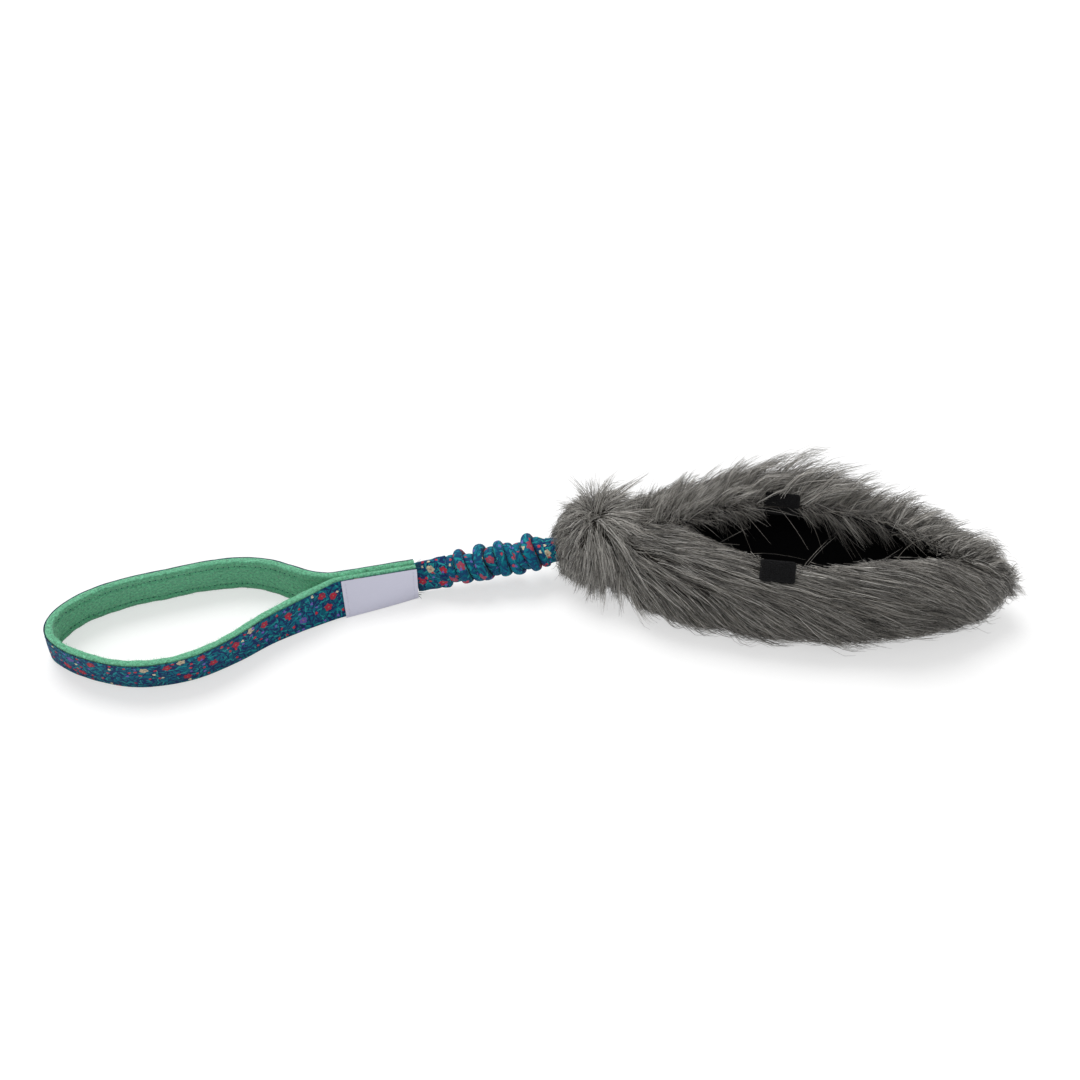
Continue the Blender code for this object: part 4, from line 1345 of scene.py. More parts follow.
def sleeve_fold_shading(first, last):
    """Painted shade by valley depth and painted highlight by crest nearness, ring by ring."""
    q = ruffle_places(first, last)
    gathered = ease(q * 2.0 + 0.2) * ease(ruffle_count() - q)
    high = np.abs(np.sin(math.pi * q))
    return np.stack([gathered * (1.0 - ease((high - 0.10) / 0.68)),
                     gathered * ease((high - 0.66) / 0.34)], axis=1)


def sleeve_creases(q, turn):
    """Soft lengthwise creases where the ruche opens out into the flat end."""
    fade = np.exp(-((q + 0.6) / 1.4) ** 2)
    return fade * 0.00060 * np.sin(turn * 7.0 + 1.4 * np.sin(q * 3.0))


def swing_limit(where):
    """Share of the sleeve's thickness that is left where it is sewn into the seam."""
    tucked = loop_values().seam_setback
    return np.sqrt(np.clip(1.0 - 0.75 * (np.clip(-where, 0.0, None) / tucked) ** 2, 0.05, 1.0))


def ruffle_count():
    """Number of whole ruffles between the flat end and the neck."""
    values = bungee_values()
    room = values.length_between - values.ruche_start - values.ruffle_pitch
    return int(room / values.ruffle_pitch)


def cord_rings(first, last):
    """Rings of the cord, flat in the seam and round in the sleeve."""
    values = bungee_values()
    along, side, above = (np.array(item) for item in bungee_frame())
    _, away, handle_side = (np.array(item) for item in handle_frame())
    swing = np.array(swing_point())
    rings = []
    for where in np.linspace(first, last, CORD_STATIONS):
        opened = float(ease(where / values.cord_taper))
        flat_side, flat_above = values.cord_flat_thickness / 2.0, values.cord_flat_width / 2.0
        half_side = flat_side + (values.cord_diameter / 2.0 - flat_side) * opened
        half_above = flat_above + (values.cord_diameter / 2.0 - flat_above) * opened
        if where < 0.0:
            loop = loop_values()
            lean = loop.seam_lean * max(-where - loop.seam_setback, 0.0) / loop.seam_length
            centre, across, rise = swing - away * where, handle_side, UP + handle_side * lean
        else:
            centre, across, rise = swing + along * where, side, above
        ring = [centre + across * (math.cos(a) * half_side) + rise * (math.sin(a) * half_above)
                for a in ring_turns(CORD_POINTS)]
        rings.append(ring)
    return np.array(rings)


class TUG_OT_bungee(bpy.types.Operator):
    """Build the elastic cord and its ruched sleeve, in three lengths each"""

    bl_idname = "tug.bungee"
    bl_label = "Bungee"

    def execute(self, context):
        values = bungee_values()
        along = bungee_frame()[0]
        swing = swing_point()
        pitch = values.ruffle_pitch
        tucked = loop_values().seam_setback - loop_values().gap
        first = -(values.ruche_start + tucked) / pitch
        last = (values.length_between + 0.004 - values.ruche_start) / pitch
        loose_end = float(ruffle_count()) - 1.0
        bend = values.ruche_start + pitch * loose_end
        joints = (
            ("sleeve_flat_end", first, 0.0, "handle", "bungee_handle_end",
             -0.001, values.ruche_start * 0.75, "sleeve_handle_end"),
            ("sleeve_ruche", 0.0, loose_end, "bungee_handle_end", "bungee_pouch_end",
             values.ruche_start, bend, "sleeve_pouch_end"),
            ("sleeve_neck_end", loose_end, last, "bungee_pouch_end", "pouch",
             bend, values.length_between + 0.012, "sleeve_pouch_end"),
        )
        for name, low, high, near, far, start, end, node in joints:
            form = ring_form(sleeve_rings(low, high), sleeve_fold_shading(low, high))
            piece = show(name, form, "printed_cotton", 70.0)
            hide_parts(node)
            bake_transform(piece)
        self.cord(swing, along)
        return {"FINISHED"}

    def cord(self, swing, along):
        """The cord in the same three lengths, inside the sleeve."""
        values = bungee_values()
        length_between = values.length_between
        joints = (
            ("cord_sewn_end", -values.cord_tail, 0.018, "handle", "bungee_handle_end",
             -0.004, 0.012),
            ("cord_middle", 0.018, length_between - 0.012, "bungee_handle_end",
             "bungee_pouch_end", 0.018, length_between - 0.012),
            ("cord_anchored_end", length_between - 0.012, length_between
             + values.cord_anchored, "bungee_pouch_end", "pouch", length_between - 0.006,
             length_between + 0.008),
        )
        for name, low, high, near, far, start, end in joints:
            piece = show(name, ring_form(cord_rings(low, high)), "braided_elastic")
            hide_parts("bungee_cord")
            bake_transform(piece)


# Pouch forms, in the pouch's own frame before it is rolled


def rolled(points):
    """Turn points or directions of the pouch's own frame into the toy's frame."""
    turn = pouch_values().roll
    x, y, z = points[..., 0], points[..., 1], points[..., 2]
    return np.stack([x, y * math.cos(turn) - z * math.sin(turn),
                     y * math.sin(turn) + z * math.cos(turn)], axis=-1)


def section_sizes(x, inset):
    """Half width, rise and drop of the pouch's section, drawn in by an inset."""
    values = pouch_values()
    side_in, start_in, end_in, top_in, bottom_in = inset
    start, end = values.start + start_in, values.end - end_in
    tip = x > values.widest
    along = np.where(tip, (x - values.widest) / (end - values.widest),
                     (values.widest - x) / (values.widest - start))
    along = np.clip(along, 0.0, 0.997)
    blunt = np.where(tip, values.tip_bluntness, values.end_bluntness)
    full = np.where(tip, values.tip_fullness, values.end_fullness)
    swell = (1.0 - along ** blunt) ** full
    tall = swell ** values.height_fullness
    return ((values.half_width - side_in) * swell, (values.rise - top_in) * tall,
            (values.drop - bottom_in) * tall)


def skin_inset():
    """Inset of the fur's backing."""
    depth = pouch_values().skin_depth
    return (depth, depth, depth * 1.2, depth * 0.85, depth * 0.5)


def hollow_inset(more=0.0):
    """Inset of the hollow, or of a layer further in."""
    values = pouch_values()
    walls = (values.wall, values.end_wall, values.tip_wall, values.lip_wall,
             values.floor_wall)
    return tuple(wall + more for wall in walls)


def surface_point(x, turn, inset):
    """Point on the pouch at a place along it and an angle round it, from the back (0)."""
    values = pouch_values()
    half, rise, drop = section_sizes(x, inset)
    power = 2.0 / values.section_fullness
    across, up = np.cos(turn), np.sin(turn)
    y = half * np.sign(across) * np.abs(across) ** power
    tall = np.where(up > 0.0, rise, drop)
    z = values.middle_height + tall * np.sign(up) * np.abs(up) ** power
    return np.stack([x, y, z], axis=-1)


def mouth_reach(x, side):
    """Half width of the mouth at a place along the pouch, on the front (-1) or back side."""
    values = pouch_values()
    middle = (values.mouth_start + values.mouth_end) / 2.0
    half = (values.mouth_end - values.mouth_start) / 2.0
    along = np.clip(np.abs(x - middle) / half, 0.0, 1.0)
    inwards = values.front_lip_inwards * ease((x - 0.004) / 0.05) * (side < 0.0)
    return values.mouth_half_width * (1.0 - along ** values.mouth_roundness) * (1.0 - inwards)


def lip_turn(x, inset, side):
    """Angle from the horizontal to the lip, for the mouth's width at that place."""
    half = section_sizes(x, inset)[0]
    ratio = np.clip(mouth_reach(x, side) / half, 0.0, 0.98)
    return np.arccos(ratio ** (pouch_values().section_fullness / 2.0))


def half_ring(x, side, inset, number):
    """Points of one half of a section, from its lip round to the middle of the belly."""
    turn = np.linspace(lip_turn(x, inset, side), -math.pi / 2.0, number)
    points = surface_point(np.full(number, x), turn, inset)
    points[:, 1] *= side
    return points


def fold_with(piece, side):
    """Bake a piece's placement into its mesh."""
    heading = np.array((0.0, 0.59 * side, 0.81))
    heading /= np.linalg.norm(heading)
    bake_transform(piece)


def own_half(ring, side):
    """A ring of points that is kept on its own side of the pouch's middle."""
    ring[:, 1] = side * np.maximum(ring[:, 1] * side, 0.0)
    return ring


def station_places(first, last, number):
    """Places along the pouch, closer together at its ends."""
    angles = np.linspace(0.0, math.pi, number)
    return (first + last) / 2.0 - (last - first) / 2.0 * np.cos(angles)


class TUG_OT_pouch(bpy.types.Operator):
    """Build the fur's backing and the lining of the pouch"""

    bl_idname = "tug.pouch"
    bl_label = "Pouch"

    def execute(self, context):
        for word, side in (("front", FRONT), ("back", BACK)):
            backing = self.backing(word, side)
            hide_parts("fur_" + word + "_side", "fur_shell")
            lining = self.lining(word, side)
            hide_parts("lining_" + word + "_side", "lining_shell")
            for piece in (backing, lining):
                fold_with(piece, side)
        cuff = self.cuff()
        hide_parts("fur_neck_cuff")
        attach(cuff, "pouch")
        self.anchor()
        return {"FINISHED"}

    def backing(self, word, side):
        """Half of the fur's backing, from the lip to the belly, with its inner face."""
        values = pouch_values()
        skin = skin_inset()
        first = values.start + skin[1] + 0.0008
        last = values.end - skin[2] - 0.0008
        rings = []
        for x in station_places(first, last, BACKING_STATIONS):
            outer = half_ring(x, side, skin, BACKING_OUTER)
            inner_x = min(max(x, values.start + values.end_wall + 0.001),
                          values.end - values.tip_wall - 0.001)
            inner = half_ring(inner_x, side, hollow_inset(-0.0006), BACKING_INNER)[::-1]
            shrink = 1.0 if inner_x == x else 0.12
            inner[:, 0] = x
            middle = np.array((x, 0.0, values.middle_height))
            inner = middle + (inner - middle) * shrink
            limit = section_sizes(np.array(x), skin)[0] * 0.92
            inner[:, 1] = np.clip(inner[:, 1], -limit, limit)
            rings.append(own_half(np.concatenate([outer, inner]), side))
        rings = rolled(np.array(rings))
        rings[..., 2] = np.maximum(rings[..., 2], BACKING_FLOOR)
        return show("backing_" + word, ring_form(rings), "fur_backing", 60.0)

    def lining(self, word, side):
        """Half of the lining, from the lip down to the middle of the hollow's floor."""
        values = pouch_values()
        inset = hollow_inset()
        deeper = hollow_inset(values.lining_thickness)
        skin = skin_inset()
        first = values.start + values.end_wall + 0.0016
        last = values.end - values.tip_wall - 0.0016
        rings = []
        for x in station_places(first, last, LINING_STATIONS):
            outer = half_ring(x, side, inset, LINING_POINTS)
            inner = half_ring(x, side, deeper, LINING_POINTS)
            lip = half_ring(x, side, skin, 3)[0]
            reach = float(ease(mouth_reach(np.array(x), side) / 0.004))
            rims = []
            for edge, out in ((outer[0], 0.0002), (inner[0], -values.lining_thickness)):
                top = edge.copy()
                top[2] = edge[2] + (lip[2] - 0.0004 - edge[2]) * reach
                top[1] = edge[1] + side * out
                rims.append(top)
            folds = ripple(outer, 120.0, 1.7)[:, None] * np.array((0.0, 0.0005, 0.0004))
            outer[1:-1] += folds[1:-1] * 0.3
            inner[1:-1] += folds[1:-1]
            ring = np.concatenate([rims[:1], outer, inner[::-1], rims[1:]])
            rings.append(own_half(ring, side))
        return show("lining_" + word, ring_form(rolled(np.array(rings))), "lining_cloth",
                    60.0)

    def cuff(self):
        """The backing of the gathered tuft, turned about the bungee."""
        along, radius = np.array(CUFF_PROFILE).T[..., None]
        rings = cuff_points(along, radius, ring_turns(CUFF_SIDES))
        rings[..., 2] = np.maximum(rings[..., 2], BACKING_FLOOR)
        return show("backing_neck", ring_form(rings), "fur_backing", 60.0)

    def anchor(self):
        """Folded webbing inside the pouch that holds the cord."""
        low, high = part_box("pouch_anchor")
        middle, size = (low + high) / 2.0, high - low
        along, side, above = bungee_frame()
        turn = Matrix((along, side, above)).transposed().to_4x4()
        bm = box_form((size.x * 0.86, size.y * 0.52, size.z * 0.86))
        bevel(bm, bm.edges[:], size.z * 0.12, 3)
        bmesh.ops.transform(bm, matrix=Matrix.Translation(middle) @ turn, verts=bm.verts)
        layer = bm.loops.layers.uv.new("UVMap")
        for face in bm.faces:
            for corner in face.loops:
                corner[layer].uv = (corner.vert.co.xz - middle.xz) * CENTIMETRES
        piece = show("anchor_webbing", bm, "ribbed_webbing")
        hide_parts("pouch_anchor")
        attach(piece, "pouch")


def cuff_axis():
    """The tuft's axis: along the bungee, and nearly level."""
    return np.array(bungee_frame()[0]) * np.array((1.0, 1.0, 0.25))


def cuff_points(along, radius, turn):
    """Points of the tuft's backing: a little wider than tall, and lifted past the neck."""
    along, radius, turn = (item[..., None] for item in np.broadcast_arrays(along, radius, turn))
    side = np.array(bungee_frame()[1])
    centre = np.array(neck_point()) + cuff_axis() * along
    centre = centre + UP * (CUFF_LIFT * ease(along / CUFF_LIFT_LENGTH))
    return centre + side * np.cos(turn) * radius * 1.04 + UP * np.sin(turn) * radius * 0.98


def outside_cuff(points, room):
    """Move points that are inside the tuft's backing out to a little above it."""
    neck = np.array(neck_point())
    axis = unit(cuff_axis())
    where = (points - neck) @ axis
    profile = np.array(CUFF_PROFILE)[2:]
    limit = np.interp(where, profile[:, 0], profile[:, 1]) + room
    centre = neck + where[:, None] * axis
    centre[:, 2] += CUFF_LIFT * ease(where / CUFF_LIFT_LENGTH)
    offset = points - centre
    reach = np.linalg.norm(offset, axis=1)
    inside = (reach < limit) & (where > profile[0, 0])
    grown = np.where(inside, limit / np.maximum(reach, 1e-4), 1.0)
    return centre + offset * grown[:, None]


# Fur


def leaf_level(points):
    """Below 1 inside the fur's backing and above 1 outside it."""
    values = pouch_values()
    half, rise, drop = section_sizes(points[..., 0], skin_inset())
    y, z = points[..., 1], points[..., 2] - values.middle_height
    tall = np.where(z > 0.0, rise, drop)
    power = values.section_fullness
    half, tall = np.maximum(half, 0.003), np.maximum(tall, 0.003)
    return ((np.abs(y) / half) ** power + (np.abs(z) / tall) ** power) ** (1.0 / power)


def leaf_normal(points):
    """Outward directions of the backing at, or near, the given points."""
    step = 0.0003
    parts = []
    for axis in range(3):
        shift = np.zeros(3)
        shift[axis] = step
        parts.append(leaf_level(points + shift) - leaf_level(points - shift))
    return unit(np.stack(parts, axis=-1))


def combed(points, normals):
    """The way the fur lies: towards the tip, and away from the mouth over both sides."""
    along = np.array((1.0, 0.0, 0.0)) - normals * normals[..., 0:1]
    down = np.array((0.0, 0.0, -1.0)) + normals * normals[..., 2:3]
    away = unit(np.cross((1.0, 0.0, 0.0), normals))
    front = points[..., 1:2] < 0.0
    away = np.where(front, away, -away)
    steep = np.arccos(np.clip(normals[..., 2:3], -1.0, 1.0))
    left = ease((0.010 - points[..., 0:1]) / 0.060)
    front_drape = 0.10 + (0.30 + 0.34 * left) * ease((steep - 0.15) / 1.1)
    drape = np.where(front, front_drape, 0.60 + 0.08 * steep)
    tip = ease((points[..., 0:1] - 0.080) / 0.045)
    drape = drape * (1.0 - 0.6 * tip)
    sway = 0.24 * ripple(points, 34.0, 0.4)[..., None]
    sway = sway + 0.13 * ripple(points, 105.0, 2.0)[..., None]
    return unit(along + away * (drape + sway) + down * (0.08 + 0.95 * tip))


def fur_lengths(roots, side):
    """Length of the fur at its roots: longest in the middle, in ragged groups."""
    values = fur_values()
    longest = values.back_length
    if side < 0:
        longest = values.front_length * (0.82 + 0.36 * ease((roots[:, 2] - 0.012) / 0.018))
    groups = 1.0 + 0.17 * ripple(roots, 95.0, 3.3) + 0.08 * ripple(roots, 260.0, 1.1)
    return longest * np.interp(roots[:, 0], FUR_PLACES, FUR_SHARES[side]) * groups


def scatter(side, number, random):
    """Root points on one side of the backing, closer together at both ends."""
    values = pouch_values()
    skin = skin_inset()
    first, last = values.start + skin[1] + 0.002, values.end - skin[2] - 0.0008
    x = random.uniform(first, last, number * 6)
    chosen = random.uniform(0.0, 1.0, number * 6)
    half = section_sizes(x, skin)[0]
    keep = chosen < (half + 0.026) / (values.half_width + 0.026)
    x = x[keep][:number]
    lip = lip_turn(x, skin, side)
    bare, start, end = (0.16, -0.085, 0.004) if side < 0 else (0.10, -0.070, 0.090)
    lip = lip - bare * ease((x - start) / 0.02) * ease((end - x) / 0.02)
    spread = random.uniform(0.0, 1.0, len(x)) ** 1.25
    turn = lip + (-0.40 * math.pi - lip) * spread
    points = surface_point(x, turn, skin)
    points[:, 1] *= side
    return points


def grow(roots, lengths, lift, droop, random):
    """Paths of the locks: they rise from the backing, bend over, wave, and lie on the fur."""
    values = fur_values()
    number = len(roots)
    paths = [roots]
    steps = values.joints
    phase = random.uniform(0.0, TURN, (number, 1))
    waves = random.uniform(0.5, 1.5, (number, 1))
    stray = random.normal(0.0, 0.11, (number, 1))
    upper = ease((leaf_normal(roots)[:, 2:3] - 0.75) / 0.2)
    stray = stray * np.where(roots[:, 1:2] < 0.0, 0.5, 1.0 + 1.4 * upper)
    for step in range(steps):
        here = paths[-1]
        normal = leaf_normal(here)
        flow = combed(here, normal)
        along = (step + 0.5) / steps
        rise = lift * (1.0 - along) + droop * along
        sideways = np.cross(normal, flow)
        bend = np.sin(phase + along * 6.3 * waves) * values.wave * 3.2 / lengths[:, None]
        way = flow * np.cos(rise) + normal * np.sin(rise) + sideways * (bend + stray)
        there = here + unit(way) * (lengths[:, None] / steps)
        paths.append(push_out(there, 1.010 + 0.030 * along))
    return np.stack(paths, axis=1)


def push_out(points, level):
    """Move points that are inside the backing out to a level above it."""
    middle = np.array((0.0, 0.0, pouch_values().middle_height))
    now = leaf_level(points)[..., None]
    offset = points - middle
    offset[..., 0] = 0.0
    grown = np.where(now < level, np.maximum(level / np.maximum(now, 0.2), 1.0), 1.0)
    return points + offset * (grown - 1.0)


def clumped(paths, random, radius, strands):
    """Strands of each lock: apart at the root, drawn together towards the tip."""
    values = fur_values()
    locks, points = paths.shape[:2]
    along = np.linspace(0.0, 1.0, points)[None, None, :, None]
    spread = random.normal(0.0, 0.55, (locks, strands, 1, 3)) * radius
    loose = random.uniform(0.0, 1.0, (locks, strands, 1, 1)) ** 3
    fluffy = 1.0 - 0.5 * ease((paths[:, :1, 0] - 0.085) / 0.03)[:, None, :, None]
    drawn = 1.0 - values.clump * fluffy * (1.0 - loose) * along ** 0.8
    curl = random.normal(0.0, 1.0, (locks, strands, 1, 3)) * 0.0016 * (0.4 + loose)
    short = random.uniform(0.72, 1.06, (locks, strands, 1, 1))
    root = paths[:, None, :1]
    guide = root + (paths[:, None] - root) * short
    return guide + spread * drawn + curl * along ** 2


def fur_tones(paths, random, strands):
    """Tone and warmth of each strand: mostly its lock's, partly its own."""
    locks = len(paths)
    patch = ripple(paths[:, 0], 48.0, 5.0)[:, None] * 0.15
    lock = random.normal(0.48, 0.13, (locks, 1)) + patch
    own = random.normal(0.0, 0.16, (locks, strands))
    own += np.where(random.uniform(0.0, 1.0, (locks, strands)) > 0.94, 0.34, 0.0)
    warmth = np.clip(random.normal(0.25, 0.2, (locks, strands)), 0.0, 1.0)
    return np.stack([np.clip(lock + own, 0.0, 1.0), warmth], axis=-1)


def over_tab(points):
    """Whether points hide one of the closure tabs."""
    values = pouch_values()
    hidden = np.zeros(points.shape[:-1], bool)
    for side in (FRONT, BACK):
        own = np.array(tab_matrix(side).inverted())
        local = points @ own[:3, :3].T + own[:3, 3]
        inwards = -local[..., 1] * side
        hidden |= ((np.abs(local[..., 0]) < values.tab_length / 2.0 - 0.0019)
                   & (inwards > 0.0014 - values.tab_height / 2.0)
                   & (inwards < values.tab_height / 2.0 + 0.003)
                   & (local[..., 2] > -0.004) & (local[..., 2] < 0.020))
    return hidden


def in_mouth(points):
    """Whether points hang over the open mouth."""
    x, y = points[..., 0], points[..., 1]
    slit = 0.0036 * ease((x - 0.050) / 0.02) * ease((0.110 - x) / 0.012)
    back = y < np.maximum(mouth_reach(x, BACK) - 0.0015, slit)
    front = -y < np.maximum(mouth_reach(x, FRONT) - 0.0015, slit)
    return back & front & (points[..., 2] > 0.030)


def fur_piece(name, paths, tones, side):
    """One piece of a side's fur, from strand paths in the pouch's own frame."""
    values = fur_values()
    world = rolled(paths)
    world[..., 2] = np.clip(world[..., 2], values.floor, values.highest)
    world[..., 1] = np.minimum(world[..., 1], values.back_reach)
    piece = thread_piece(name, world, values.strand_radius, "fur_strands", tones)
    fold_with(piece, side)


class TUG_OT_fur(bpy.types.Operator):
    """Grow the fur of both sides, the rims of both lips and the tuft at the neck"""

    bl_idname = "tug.fur"
    bl_label = "Fur"

    def execute(self, context):
        values = fur_values()
        for word, side, seed in (("front", FRONT, 31), ("back", BACK, 47)):
            random = np.random.RandomState(seed)
            self.side(word, side, kept_number(values.side_locks), random)
            self.lip(word, side, kept_number(values.lip_locks), random)
        self.tuft(kept_number(values.neck_locks), np.random.RandomState(83))
        return {"FINISHED"}

    def side(self, word, side, number, random):
        """All fur of one side, in pieces from the neck to the tip."""
        values = fur_values()
        roots = scatter(side, number, random)
        normal = leaf_normal(roots)
        top = ease((normal[:, 2:3] - 0.2) / 0.7)
        shortest = 0.78 if side < 0 else 0.62
        lengths = fur_lengths(roots, side) * random.uniform(shortest, 1.14, len(roots))
        loose = random.uniform(0.0, 1.0, (len(roots), 1)) ** 2
        if side > 0:
            lift = 0.50 + 0.55 * loose * (0.4 + top) + 0.15 * top
            droop = -0.06 + 0.40 * loose * top + 0.10 * top
        else:
            rim = top * ease((roots[:, 0:1] - 0.010) / 0.03)
            rim = rim * ease((0.082 - roots[:, 0:1]) / 0.02)
            lift = 0.32 + 0.30 * loose * (1.0 - 0.7 * top) - 0.10 * top + 0.30 * rim
            droop = -0.14 + 0.14 * loose * (1.0 - top) + 0.10 * rim
        paths = grow(roots, lengths, lift, droop, random)
        strands = clumped(paths, random, values.lock_radius, values.lock_strands)
        tones = fur_tones(paths, random, values.lock_strands)
        # Painted light: the back side's fur is made a little lighter than the front's.
        tones[..., 0] = np.clip(tones[..., 0] + 0.10 * (side > 0), 0.0, 1.0)
        chance = random.uniform(0.0, 1.0, strands.shape[:2])
        outer = strands[:, :, 1:]
        open_way = ~(in_mouth(outer).any(axis=2) & (chance < 0.97))
        open_way &= ~(over_tab(outer).any(axis=2) & (chance < 0.992))
        open_way &= ~((outer[..., 0].max(axis=2) > values.tip_reach) & (chance < 0.90))
        where = roots[:, 0]
        edges = np.quantile(where, (0.0, 0.25, 0.50, 0.75, 1.0))
        edges[-1] += MERGE
        names = ("neck", "near_middle", "far_middle", "tip")
        for part, low, high in zip(names, edges, edges[1:]):
            kept = open_way & ((where >= low) & (where < high))[:, None]
            fur_piece(f"fur_{word}_{part}", strands[kept], tones[kept], side)

    def lip(self, word, side, number, random):
        """Hairs on a lip's rim: the back ones hang into the mouth, the front ones rise."""
        values = fur_values()
        pouch = pouch_values()
        skin = skin_inset()
        x = random.uniform(pouch.mouth_start - 0.004, pouch.mouth_end + 0.004, number)
        outwards = random.uniform(0.0, 1.0, number) ** 2 * (0.38 if side > 0 else 0.12)
        roots = surface_point(x, lip_turn(x, skin, side) - outwards, skin)
        roots[:, 1] *= side
        roots[:, 2] -= random.uniform(0.0, 0.0026, number) * (outwards < 0.02)
        low, high, fall = LIP_HEADINGS[side]
        lengths = values.lip_length * np.interp(x, LIP_PLACES, LIP_SHARES[side])
        lengths = lengths * random.uniform(0.5, 1.15, number)
        heading = unit(random.uniform(low, high, (number, 3)))
        curl = random.normal(0.0, 0.14, (number, 1, 3)) + np.array(fall)
        paths = hairs(roots, heading, lengths, curl, values.joints)
        strands = clumped(paths, random, values.lock_radius * 1.2, values.lip_strands)
        tones = fur_tones(paths, random, values.lip_strands)
        # Painted shade on the back lip's hairs in the mouth; the front lip's are a bit darker.
        tones[..., 0] *= 0.62 if side > 0 else 0.85
        outer = strands[:, :, 1:]
        chance = random.uniform(0.0, 1.0, strands.shape[:2])
        kept = ~(over_tab(outer).any(axis=2) & (chance < 0.99))
        if side < 0:
            kept &= ~(in_mouth(outer).any(axis=2) & (chance < 0.80))
        strands, tones = strands[kept], tones[kept]
        loose, loose_tones = self.strays(side, random)
        fur_piece(f"fur_{word}_lip", np.concatenate([strands, loose]),
                  np.concatenate([tones, loose_tones]), side)

    def strays(self, side, random):
        """A few long single hairs that curve across the mouth from a lip."""
        values = fur_values()
        pouch = pouch_values()
        number = STRAYS[side]
        x = random.uniform(pouch.mouth_start + 0.004, pouch.mouth_end - 0.030, number)
        roots = surface_point(x, lip_turn(x, skin_inset(), side), skin_inset())
        roots[:, 1] *= side
        heading = unit(np.stack([random.uniform(0.3, 1.2, number),
                                 random.uniform(-0.8, -0.1, number) * side,
                                 random.uniform(-0.1, 0.5, number)], axis=1))
        lengths = random.uniform(0.8, 1.9, number) * values.lip_length
        curl = random.normal(0.0, 0.22, (number, 1, 3)) + np.array((0.0, 0.0, -0.30))
        tones = random.uniform((0.02, 0.0), (0.36, 0.5), (number, 2))
        return hairs(roots, heading, lengths, curl, values.joints), tones

    def tuft(self, number, random):
        """The gathered tuft: it parts on top and hangs down all round."""
        values = fur_values()
        along = 0.037 * random.uniform(0.0, 1.0, number) ** 1.25 - 0.0009
        turn = random.uniform(0.0, TURN, number)
        radius = np.interp(along, *np.array(CUFF_PROFILE)[2:].T)
        roots = cuff_points(along, radius, turn)
        neck = np.array(neck_point())
        axis = np.array(bungee_frame()[0])
        centre = neck + axis * 0.014 + np.array((0.0, 0.0, 0.004))
        outward = unit(roots - centre)
        flow = roots - TUFT_PARTING
        parted = ease(np.linalg.norm(flow, axis=1)[:, None] / 0.012)
        flow = unit(flow - outward * (flow * outward).sum(axis=1)[:, None])
        flow = unit(flow * parted + random.normal(0.0, 0.9, (number, 3)) * (1.0 - parted))
        low = roots[:, 2] > 0.005
        roots, outward, flow = roots[low], outward[low], flow[low]
        number = len(roots)
        loose = random.uniform(0.0, 1.0, (number, 1)) ** 2
        top = ease((outward[:, 2:3] - 0.1) / 0.8)
        back = ease((roots[:, 1:2] - neck[1] + 0.004) / 0.02)
        ahead = ease((-0.108 - roots[:, 0:1]) / 0.022)
        lengths = values.tuft_length * random.uniform(0.62, 1.22, (number, 1))
        lengths = lengths * (1.0 + 0.35 * top * (1.0 - ahead) - 0.60 * ahead)
        lengths = lengths * (0.94 + 0.42 * loose)
        lift = 0.26 + 0.62 * loose * (1.0 - 0.35 * ahead)
        lift = lift + (0.16 * top + 0.24 * back) * (1.0 - ahead)
        heading = flow * np.cos(lift) + outward * np.sin(lift)
        heading = unit(heading + np.array((0.40, 0.05, 0.0)) * top * (1.0 - ahead))
        fall = -UP * (0.60 - 0.45 * top * back)
        paths = [roots]
        for step in range(values.joints):
            here = paths[-1] + heading * (lengths / values.joints)
            here = outside_cuff(here, 0.0012 + 0.0005 * step)
            here[:, 2] = np.maximum(here[:, 2], values.floor + 0.0004)
            paths.append(here)
            drop = fall * (2.0 + 1.25 * ahead) / values.joints
            heading = unit(heading + drop + random.normal(0.0, 0.06, (number, 3)))
        paths = np.stack(paths, axis=1)
        near = roots @ axis < np.median(roots @ axis)
        for word, chosen in (("collar", near), ("crown", ~near)):
            locks = paths[chosen]
            strands = clumped(locks, random, values.lock_radius, values.lock_strands)
            tones = fur_tones(locks, random, values.lock_strands)
            # Painted light: the tuft's strands are made much lighter than the sides'.
            tones[..., 0] = np.clip(tones[..., 0] + 0.34, 0.0, 1.0)
            strands = strands.reshape(-1, *strands.shape[2:])
            strands[..., 2] = np.clip(strands[..., 2], values.floor, values.highest)
            piece = thread_piece("fur_neck_" + word, strands, values.strand_radius,
                                 "fur_strands", tones.reshape(-1, 2))
            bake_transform(piece)


# Closure tabs


def tab_matrix(side):
    """Place and turn of a tab in the pouch's own frame."""
    values = pouch_values()
    word = "back_tab_" if side > 0 else "front_tab_"
    offset, height, tilt = (getattr(values, word + name)
                            for name in ("offset", "height", "tilt"))
    return (Matrix.Translation((values.tab_centre, offset, height))
            @ Matrix.Rotation(-tilt, 4, "X"))


